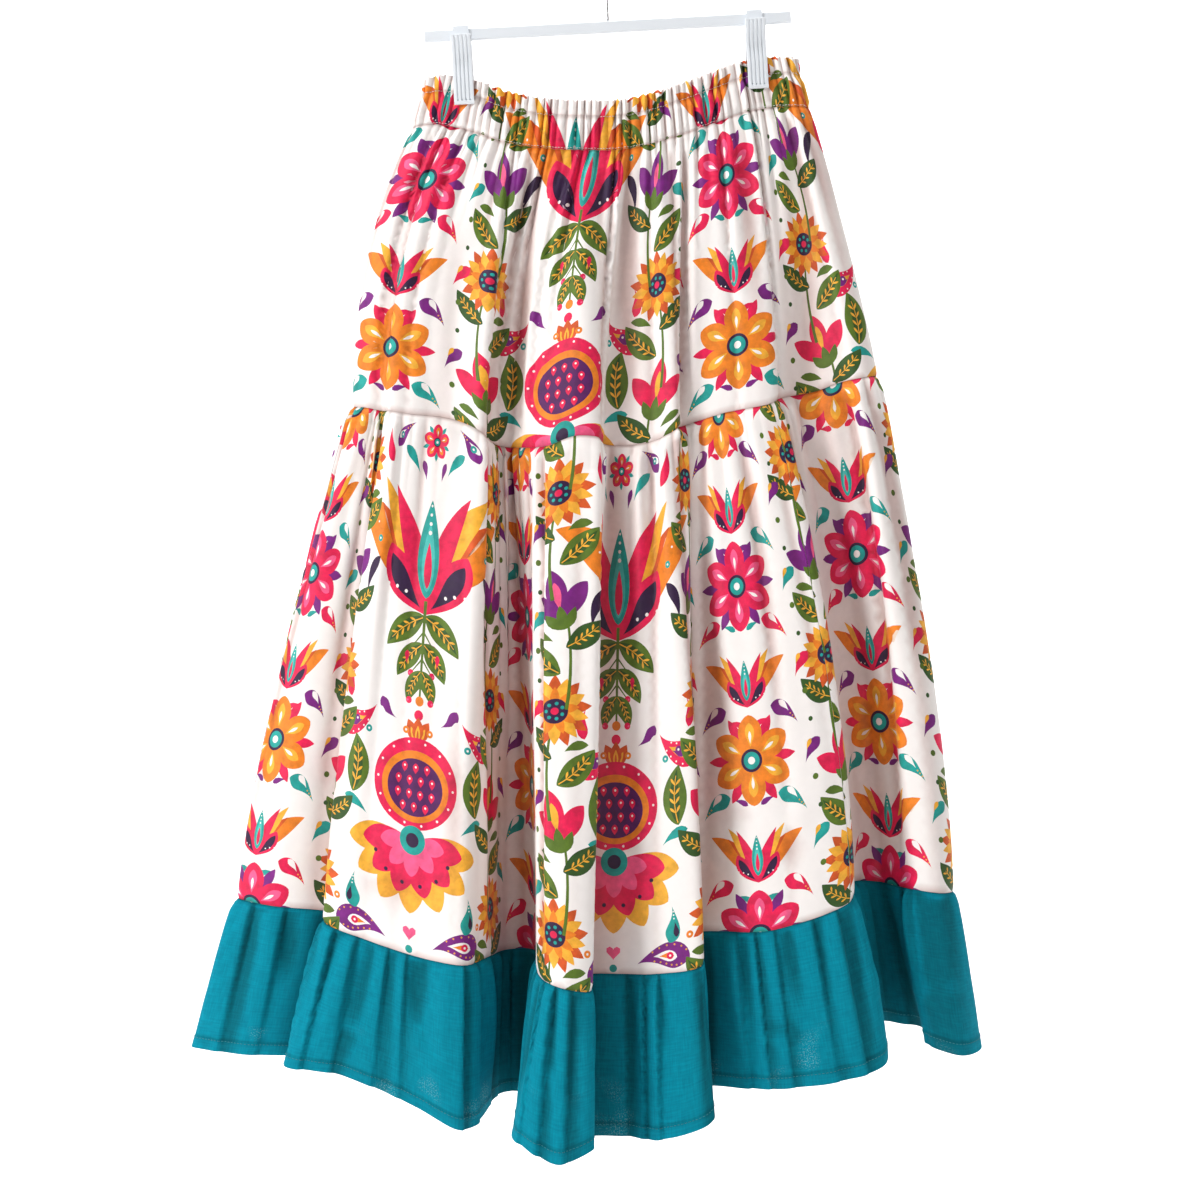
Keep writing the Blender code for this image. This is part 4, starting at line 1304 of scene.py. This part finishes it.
def bumped(material, shader, height, strength, distance):
    bump = node(material, "ShaderNodeBump", Strength=strength, Distance=distance)
    link(material, height, bump.inputs["Height"])
    link(material, bump.outputs["Normal"], shader.inputs["Normal"])


def weave_bump(material, shader, threads, strength, distance):
    """Crossed threads, from the flat cut's own coordinates, which it gives back."""
    flat = node(material, "ShaderNodeUVMap", uv_map="OFBake").outputs["UV"]
    heights = []
    for direction in ("X", "Y"):
        wave = node(material, "ShaderNodeTexWave", bands_direction=direction, Scale=threads,
                    Distortion=1.2, Detail=1.0)
        link(material, flat, wave.inputs["Vector"])
        heights.append(wave.outputs["Fac"])
    bumped(material, shader, combined(material, "ADD", *heights), strength, distance)
    return flat


def printed_cotton():
    """Satin-faced cotton whose colour is the print with painted shade in its folds and gathers, a
    little uneven as ink on cloth is.
    """
    material, shader = new_material("printed satin cotton", (0.88, 0.85, 0.83), 0.52)
    # The Print attribute holds the print with painted shade in its folds, gathers and seams
    print_and_painted_shade = node(material, "ShaderNodeVertexColor", layer_name="Print")
    place = node(material, "ShaderNodeTexCoord").outputs["Object"]
    mottle = noise(material, place, Scale=110.0, Detail=4.0, Roughness=0.6)
    tone = node(material, "ShaderNodeHueSaturation")
    link(material, print_and_painted_shade.outputs["Color"], tone.inputs["Color"])
    link(material, ranged(material, mottle, 0.3, 0.7, 0.72, 1.12), tone.inputs["Value"])
    inked = node(material, "ShaderNodeSeparateColor", mode="HSV")
    link(material, print_and_painted_shade.outputs["Color"], inked.inputs["Color"])
    link(material, inked.outputs["Green"], tone.inputs["Fac"])
    link(material, tone.outputs["Color"], shader.inputs["Base Color"])
    shader.inputs["Sheen Weight"].default_value = 0.12
    shader.inputs["Sheen Roughness"].default_value = 0.4
    shader.inputs["Specular IOR Level"].default_value = 0.35
    weave_bump(material, shader, 420.0, 0.25, 0.0002)
    return material


def multiplied(material, first, second):
    """The product of two colours."""
    mix = node(material, "ShaderNodeMix", data_type="RGBA", blend_type="MULTIPLY")
    mix.inputs["Factor"].default_value = 1.0
    link(material, first, mix.inputs["A"])
    link(material, second, mix.inputs["B"])
    return mix.outputs["Result"]


def teal_gauze():
    """Cotton gauze with slubby threads, rubbed thin in speckled patches near the hem."""
    material, shader = new_material("teal cotton gauze", TEAL_LIGHT[:3], 0.88)
    flat = weave_bump(material, shader, 900.0, 0.5, 0.0003)
    threads = []
    for scale in ((900.0, 90.0, 1.0), (70.0, 800.0, 1.0)):
        stretch = node(material, "ShaderNodeMapping")
        stretch.inputs["Scale"].default_value = scale
        link(material, flat, stretch.inputs["Vector"])
        threads.append(noise(material, stretch.outputs["Vector"], Scale=1.0, Detail=2.0))
    crossed = combined(material, "ADD", *threads)
    half = node(material, "ShaderNodeMath", operation="MULTIPLY")
    half.inputs[1].default_value = 0.5
    link(material, crossed, half.inputs[0])
    ramp = node(material, "ShaderNodeValToRGB")
    dark, light = ramp.color_ramp.elements
    dark.position, dark.color = 0.36, TEAL_DARK
    light.position, light.color = 0.64, TEAL_LIGHT
    link(material, half.outputs[0], ramp.inputs["Fac"])

    # Speckles show where a slow and a fine noise both run high, on the ruffle's lower part
    level = node(material, "ShaderNodeSeparateXYZ")
    link(material, flat, level.inputs["Vector"])
    patchy = ranged(material, noise(material, flat, Scale=26.0, Detail=1.0), 0.60, 0.72)
    low = ranged(material, level.outputs["Y"], 0.062, 0.082)
    grainy = ranged(material, noise(material, flat, Scale=1100.0, Detail=1.0), 0.52, 0.66)
    where = combined(material, "MULTIPLY", patchy, low)
    speckle = combined(material, "MULTIPLY", where, grainy)
    worn = node(material, "ShaderNodeMix", data_type="RGBA")
    worn.inputs["B"].default_value = TEAL_THIN
    link(material, speckle, worn.inputs["Factor"])
    link(material, ramp.outputs["Color"], worn.inputs["A"])

    # Painted shade in the folds, gathers, pleats' edges and seams, from the Print attribute, darkens
    # the gauze
    shade = node(material, "ShaderNodeVertexColor", layer_name="Print")
    shaded = multiplied(material, worn.outputs["Result"], shade.outputs["Color"])
    link(material, shaded, shader.inputs["Base Color"])
    shader.inputs["Sheen Weight"].default_value = 0.10
    shader.inputs["Sheen Tint"].default_value = (0.0, 0.8, 1.0, 1.0)
    shader.inputs["Specular IOR Level"].default_value = 0.12
    return material


def sewing_thread(name, colour):
    """Spun thread, a little uneven in tone."""
    material, shader = new_material(name, colour, 0.7)
    place = node(material, "ShaderNodeTexCoord").outputs["Object"]
    tone = node(material, "ShaderNodeValToRGB")
    tone.color_ramp.elements[0].color = (*[0.7 * part for part in colour], 1)
    tone.color_ramp.elements[1].color = (*colour, 1)
    link(material, noise(material, place, Scale=900.0, Detail=2.0), tone.inputs["Fac"])
    link(material, tone.outputs["Color"], shader.inputs["Base Color"])
    shader.inputs["Sheen Weight"].default_value = 0.15
    return material


def moulded_plastic(name, colour):
    """Moulded plastic with faint, uneven flow marks."""
    material, shader = new_material(name, colour, 0.32)
    place = node(material, "ShaderNodeTexCoord").outputs["Object"]
    marks = noise(material, place, Scale=160.0, Detail=3.0)
    rough = ranged(material, marks, new_low=0.26, new_high=0.42)
    link(material, rough, shader.inputs["Roughness"])
    bumped(material, shader, marks, 0.06, 0.0003)
    return material


def bright_steel():
    """Drawn steel wire, with fine marks along it."""
    material, shader = new_material("bright steel wire", (0.62, 0.62, 0.64), 0.24, 1.0)
    place = node(material, "ShaderNodeTexCoord").outputs["Object"]
    marks = noise(material, place, Scale=700.0, Detail=2.0)
    link(material, ranged(material, marks, new_low=0.16, new_high=0.34), shader.inputs["Roughness"])
    return material


# The pieces

# How far a printed outline may move when its spare points go, in millimetres
CASING_TOLERANCE = 0.03
TIER_1_TOLERANCE = 0.05
TIER_2_TOLERANCE = 0.11
LONG_BACK_TOLERANCE = 0.2

# Spacing of the points on the flat cloth: how far down, spacing across and spacing down
PRINT_ROWS = (
    (0, 1.7, 1.2), (5, 1.7, 2.6), (26, 1.9, 3.2),
    (60, 3.2, 4.5), (110, 5.0, 6.0), (470, 5.6, 6.5),
)
INNER_ROWS = ((0, 1.6, 3.0), (26, 2.0, 4.0), (60, 3.2, 6.0), (110, 5.5, 8.0), (470, 6.5, 8.0))
LONG_BACK_ROWS = (
    (0, 2.3, 1.5), (5, 2.3, 3.2), (26, 2.5, 4.0),
    (60, 4.2, 5.5), (110, 6.4, 7.5), (470, 7.0, 8.0),
)
LONG_BACK_INNER_ROWS = (
    (0, 2.3, 4.0), (26, 2.8, 5.0), (60, 4.4, 8.0), (110, 6.8, 10.0), (470, 7.6, 10.0),
)
CASING_ROWS = ((0, 1.3, 2.2), (11, 1.3, 1.4), (17, 1.3, 2.0), (38, 1.3, 2.2), (44, 1.3, 1.2))
RUFFLE_ROWS = ((0, 2.2, 1.4), (20, 2.6, 3.2), (100, 3.0, 3.6), (124, 2.6, 2.0), (138, 2.6, 2.0))
RUFFLE_INNER_ROWS = ((0, 2.4, 3.0), (20, 3.0, 4.5), (138, 3.6, 4.5))


Panel = namedtuple("Panel", "name tier start end strip print_start rows")


def printed_panels():
    """The casing and the two upper tiers, each half cut from a strip of the print."""
    shapes = half_strip()
    casing_foot = TIER_1_PRINT_FOOT + TIER_1_DROP
    casing = printed_strip(shapes, casing_foot, CASING_HEIGHT, CASING_ROWS, CASING_TOLERANCE)
    tier_1 = printed_strip(shapes, TIER_1_PRINT_FOOT, TIER_1_DROP, PRINT_ROWS, TIER_1_TOLERANCE)
    foot = PRINT_HEIGHT - TIER_2_DROP
    tier_2 = printed_strip(shapes, foot, TIER_2_DROP, PRINT_ROWS, TIER_2_TOLERANCE)
    long_back = printed_strip(shapes, foot, TIER_2_DROP, LONG_BACK_ROWS, LONG_BACK_TOLERANCE)
    return (
        Panel("waistband_front", CASING, 0, HALF_COLUMNS, casing, FRONT_PRINT_START, CASING_ROWS),
        Panel("waistband_back", CASING, HALF_COLUMNS, COLUMNS, casing, BACK_PRINT_START, CASING_ROWS),
        Panel("tier1_front", TIER_1, 0, HALF_COLUMNS, tier_1, FRONT_PRINT_START, INNER_ROWS),
        Panel("tier1_back", TIER_1, HALF_COLUMNS, COLUMNS, tier_1, BACK_PRINT_START, INNER_ROWS),
        Panel("tier2_front", TIER_2, 0, JOIN_COLUMN, tier_2, LONG_FRONT_PRINT_START, INNER_ROWS),
        Panel("tier2_back", TIER_2, JOIN_COLUMN, COLUMNS, long_back, LONG_BACK_PRINT_START,
              LONG_BACK_INNER_ROWS),
    )


def build_cloth():
    """Every cloth piece, with its flat width and length in metres."""
    printed = printed_cotton()
    gauze = teal_gauze()
    pieces = {}
    for panel in printed_panels():
        tier, start, end = panel.tier, panel.start, panel.end
        # The casing is the top of tier 1's strip of cloth, so the two are equally wide
        width = (TIER_1 if tier is CASING else tier).width_between(start, end)
        flat = printed_panel(panel.strip, panel.print_start, width)
        piece = shell(f"{panel.name}_cloth", tier, start, end, flat, panel.rows, printed)
        pieces[panel.name] = (piece, width * MM, tier.drop * MM)
    for name, start, end in (("ruffle_front", 0, HALF_COLUMNS), ("ruffle_back", HALF_COLUMNS, COLUMNS)):
        width = RUFFLE.width_between(start, end)
        flat = plain_sheet(width, RUFFLE_DROP, RUFFLE_ROWS)
        piece = shell(f"{name}_cloth", RUFFLE, start, end, flat, RUFFLE_INNER_ROWS, gauze, plain=True)
        pieces[name] = (piece, width * MM, (RUFFLE_DROP + HEM_TURN) * MM)
    return pieces


def add_piece(name, points, faces, material, angle=None):
    """A mesh of points in metres, smooth all over or up to an angle in degrees."""
    mesh = bpy.data.meshes.new(name)
    mesh.from_pydata(np.asarray(points).tolist(), [], faces)
    mesh.update(calc_edges=True)
    mesh.shade_smooth()
    if angle:
        mesh.set_sharp_from_angle(angle=math.radians(angle))
    mesh.materials.append(material)
    piece = bpy.data.objects.new(name, mesh)
    bpy.context.scene.collection.objects.link(piece)
    return piece


def stitch_row(name, tier, start_column, end_column, down, stitch, material):
    """Running stitches along a tier: short threads whose ends dip into the cloth."""
    ends = tier.cloth_at(np.array((start_column, end_column), dtype=float))
    count = int((ends[1] - ends[0]) / stitch.pitch)
    centres = ends[0] + (np.arange(count) + 0.5) * stitch.pitch
    share = np.array(STITCH_SHARES)
    places = centres[:, None] + stitch.length * share
    columns = tier.column_at(places.reshape(-1))
    drops = np.full(len(columns), down)
    points, normals = tier.surface(columns, drops)
    ahead = tier.points(columns + 0.02, drops) - tier.points(columns - 0.02, drops)
    ahead /= np.linalg.norm(ahead, axis=1)[:, None]
    side = np.cross(normals, ahead)
    arch = np.tile(THREAD_RADIUS * (0.9 - 2.4 * (2 * abs(share)) ** 4), count)
    middle = points + normals * (half_thickness(tier, drops) + arch)[:, None]
    ring = []
    for angle in np.arange(THREAD_SIDES) * 2 * math.pi / THREAD_SIDES:
        ring.append(middle + THREAD_RADIUS * (math.cos(angle) * normals + math.sin(angle) * side))
    verts = np.stack(ring, axis=1).reshape(-1, 3) * MM
    faces = []
    for number in range(count):
        base = number * len(share) * THREAD_SIDES
        for step in range(len(share) - 1):
            here = base + step * THREAD_SIDES
            for k in range(THREAD_SIDES):
                m = (k + 1) % THREAD_SIDES
                faces.append((here + k, here + m, here + THREAD_SIDES + m, here + THREAD_SIDES + k))
        last = base + (len(share) - 1) * THREAD_SIDES
        faces.append(tuple(range(base + THREAD_SIDES - 1, base - 1, -1)))
        faces.append(tuple(range(last, last + THREAD_SIDES)))
    piece = add_piece(name, verts, faces, material)
    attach(piece, "root")


def sew_cloth():
    """The waistband's two rows, and the row that holds the ruffle's turned hem."""
    white = sewing_thread("white sewing thread", (0.80, 0.77, 0.74))
    teal = sewing_thread("teal sewing thread", (0.005, 0.22, 0.27))
    hem_row = RUFFLE_DROP - HEM_TURN + HEM_ROW_DROP
    for side, start, end in (("front", 0, HALF_COLUMNS), ("back", HALF_COLUMNS, COLUMNS)):
        for row, down in (("upper", FRILL_HEIGHT), ("lower", CASING_HEIGHT - LOWER_ROW_LIFT)):
            name = f"waistband_{side}_{row}_stitches"
            stitch_row(name, CASING, start, end, down, WAIST_STITCH, white)
        stitch_row(f"ruffle_{side}_hem_stitches", RUFFLE, start, end, hem_row, HEM_STITCH, teal)


def declare_cloth(pieces):
    """Each cloth piece rides on the hanger's body and stands for its solid."""
    for name, (piece, width, length) in pieces.items():
        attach(piece, "root")
        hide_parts(name)


# The hanger

def jaw_section(side, depth, pit):
    """A jaw seen from its end, with its outer face cut in by a groove and the pit at its foot."""
    seat = JAW_SEAT / MM
    low = JAW_BOTTOM / MM
    top = JAW_TOP / MM
    pivot = PIVOT_HEIGHT / MM
    close = PIVOT_RADIUS / MM + SEAM_GAP
    thick = JAW_THICKNESS / MM
    inner = ((seat + 4.5, top), (close + 1.5, pivot + 8), (close, pivot + 2), (close, pivot - 2),
             (seat + 0.6, pivot - 14), (seat, low + 8), (seat, low + 1), (seat + 0.8, low))
    outer = ((seat + 4.5 + thick - 0.3, top), (seat + 4.5 + thick, top - 0.8))
    outer += ((seat + 4.1 + thick - depth, top - 2.4), (close + 1.9 + thick - depth, pivot + 9))
    outer += ((close + 1.4 + thick - depth, pivot + 7), (close + thick - depth, pivot + 2))
    outer += ((close + thick - depth, pivot - 2), (seat + 0.6 + thick - depth, pivot - 14))
    outer += ((seat + thick - depth, low + 8), (seat + thick + 0.15 - depth, low + 4.6))
    outer += ((seat + thick + 0.2 - pit, low + 4.4), (seat + thick + 0.3 - pit, low + 3.4))
    outer += ((seat + thick + 0.4, low + 3.1), (seat + thick + 0.5, low + 2.3))
    outer += ((seat + thick + 0.3, low + 1.1), (seat + thick - 0.1, low + 0.3))
    outer += ((seat + thick - 0.7, low),)
    return [(side * y, z) for y, z in inner + outer[::-1]]


def ribbed_jaw(name, offset, side, material):
    """A clip's jaw with ribs and a small pit at the foot of each groove between them."""
    half = CLIP_WIDTH / MM / 2
    rib = 2 * half / JAW_RIBS
    groove = (GROOVE_DEPTH, PIT_DEPTH)
    # Where the section changes across the jaw, and how deep it's cut there and at the pit
    stations = [(-half, (0.5, 0.5)), (-half + 0.25, (0.15, 0.15)), (-half + 0.7, (0, 0))]
    for number in range(1, JAW_RIBS):
        middle = -half + rib * number
        stations += [(middle - 0.85, (0, 0)), (middle - 0.6, groove)]
        stations += [(middle + 0.6, groove), (middle + 0.85, (0, 0))]
    stations += [(half - 0.7, (0, 0)), (half - 0.25, (0.15, 0.15)), (half, (0.5, 0.5))]
    points = []
    for x, depths in stations:
        points += [(x, y, z) for y, z in jaw_section(side, *depths)]
    count = len(points) // len(stations)
    faces = []
    for step in range(len(stations) - 1):
        for k in range(count):
            m = (k + 1) % count
            here, there = step * count, (step + 1) * count
            quad = (here + k, here + m, there + m, there + k)
            faces.append(quad if side < 0 else quad[::-1])
    start = tuple(range(count))
    end = tuple(range(len(points) - count, len(points)))
    faces.append(start[::-1] if side < 0 else start)
    faces.append(end if side < 0 else end[::-1])
    cos, sin = math.cos(HANGER_TILT), math.sin(HANGER_TILT)
    placed = []
    for x, y, z in points:
        along = x * MM + offset
        placed.append((along * cos - z * MM * sin, y * MM, along * sin + z * MM * cos))
    piece = add_piece(f"{name}_ribbed", placed, faces, material, 35)
    shape = bmesh.new()
    shape.from_mesh(piece.data)
    bmesh.ops.recalc_face_normals(shape, faces=shape.faces)
    bmesh.ops.triangulate(shape, faces=shape.faces)
    shape.to_mesh(piece.data)
    shape.free()
    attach(piece, "root")
    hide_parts(name)


def dress_hanger():
    """The hanger keeps its own form, apart from the jaws, which get ribs."""
    plastic = moulded_plastic("white moulded plastic", (0.74, 0.78, 0.82))
    steel = bright_steel()
    for name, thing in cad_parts.items():
        if name.startswith(("clip_", "hanger_")):
            material = steel if name == "hanger_hook" else plastic
            thing.data.materials.clear()
            thing.data.materials.append(material)
    for place, offset in (("left", -CLIP_OFFSET), ("right", CLIP_OFFSET)):
        ribbed_jaw(f"clip_{place}_front_jaw", offset, -1, plastic)
        ribbed_jaw(f"clip_{place}_back_jaw", offset, 1, plastic)


# Stage, in metres

FLOOR = -1.26
SWEEP_FRONT = -4.0
SWEEP_BACK = 2.6
SWEEP_BEND = 1.2               # radius of the bend from floor to wall
SWEEP_TOP = 3.2
SWEEP_HALF_WIDTH = 4.5
BEND_STEPS = 12
CAMERA_PLACE = (-0.0027, -1.8, -0.593)

def look_at(thing, target):
    direction = Vector(target) - thing.location
    thing.rotation_euler = direction.to_track_quat("-Z", "Y").to_euler()


def area_light(name, place, target, size, power, colour=(1, 1, 1)):
    light = bpy.data.lights.new(name, "AREA")
    light.shape = "SQUARE"
    light.size = size
    light.energy = power
    light.color = colour
    thing = bpy.data.objects.new(name, light)
    bpy.context.scene.collection.objects.link(thing)
    thing.location = place
    look_at(thing, target)


def build_stage():
    """A pale sweep that runs from the floor up behind the skirt."""
    start = SWEEP_BACK - SWEEP_BEND
    profile = [(SWEEP_FRONT, FLOOR), (start, FLOOR)]
    for step in range(1, BEND_STEPS + 1):
        angle = math.radians(step * 90 / BEND_STEPS)
        y = start + SWEEP_BEND * math.sin(angle)
        z = FLOOR + SWEEP_BEND - SWEEP_BEND * math.cos(angle)
        profile.append((y, z))
    profile.append((SWEEP_BACK, SWEEP_TOP))
    verts = [(x, y, z) for y, z in profile for x in (-SWEEP_HALF_WIDTH, SWEEP_HALF_WIDTH)]
    faces = [(2 * i, 2 * i + 1, 2 * i + 3, 2 * i + 2) for i in range(len(profile) - 1)]
    mesh = bpy.data.meshes.new("sweep")
    mesh.from_pydata(verts, [], faces)
    mesh.shade_smooth()
    material, shader = new_material("pale sweep", (0.93, 0.93, 0.93), 0.9)
    shader.inputs["Specular IOR Level"].default_value = 0.1
    mesh.materials.append(material)
    sweep = bpy.data.objects.new("sweep", mesh)
    bpy.context.scene.collection.objects.link(sweep)


def build_light():
    """A key from the left, a soft fill from the right and a light for the sweep alone."""
    world = bpy.data.worlds.new("studio")
    world.use_nodes = True
    backdrop = world.node_tree.nodes["Background"]
    backdrop.inputs["Color"].default_value = (1.0, 0.95, 0.93, 1)
    backdrop.inputs["Strength"].default_value = 0.25
    bpy.context.scene.world = world
    area_light("key", (-2.5, -1.7, 0.4), (0, 0, -0.6), 0.9, 72)
    area_light("fill", (1.5, -2.6, -0.3), (0, 0, -0.7), 2.0, 9, (1.0, 0.95, 0.93))
    area_light("sweep light", (0, 0.9, 1.9), (0, 2.6, -0.5), 3.0, 165)
    bpy.context.scene.view_settings.view_transform = "Standard"


def build_camera():
    """Straight on from the front, as the photo was taken."""
    camera = bpy.data.cameras.new("camera")
    camera.lens = 60
    camera.sensor_width = 36
    camera.clip_end = 50
    thing = bpy.data.objects.new("camera", camera)
    bpy.context.scene.collection.objects.link(thing)
    thing.location = CAMERA_PLACE
    thing.rotation_euler = (math.radians(90), 0, 0)
    bpy.context.scene.camera = thing


pieces = build_cloth()
declare_cloth(pieces)
sew_cloth()
dress_hanger()
build_stage()
build_light()
build_camera()
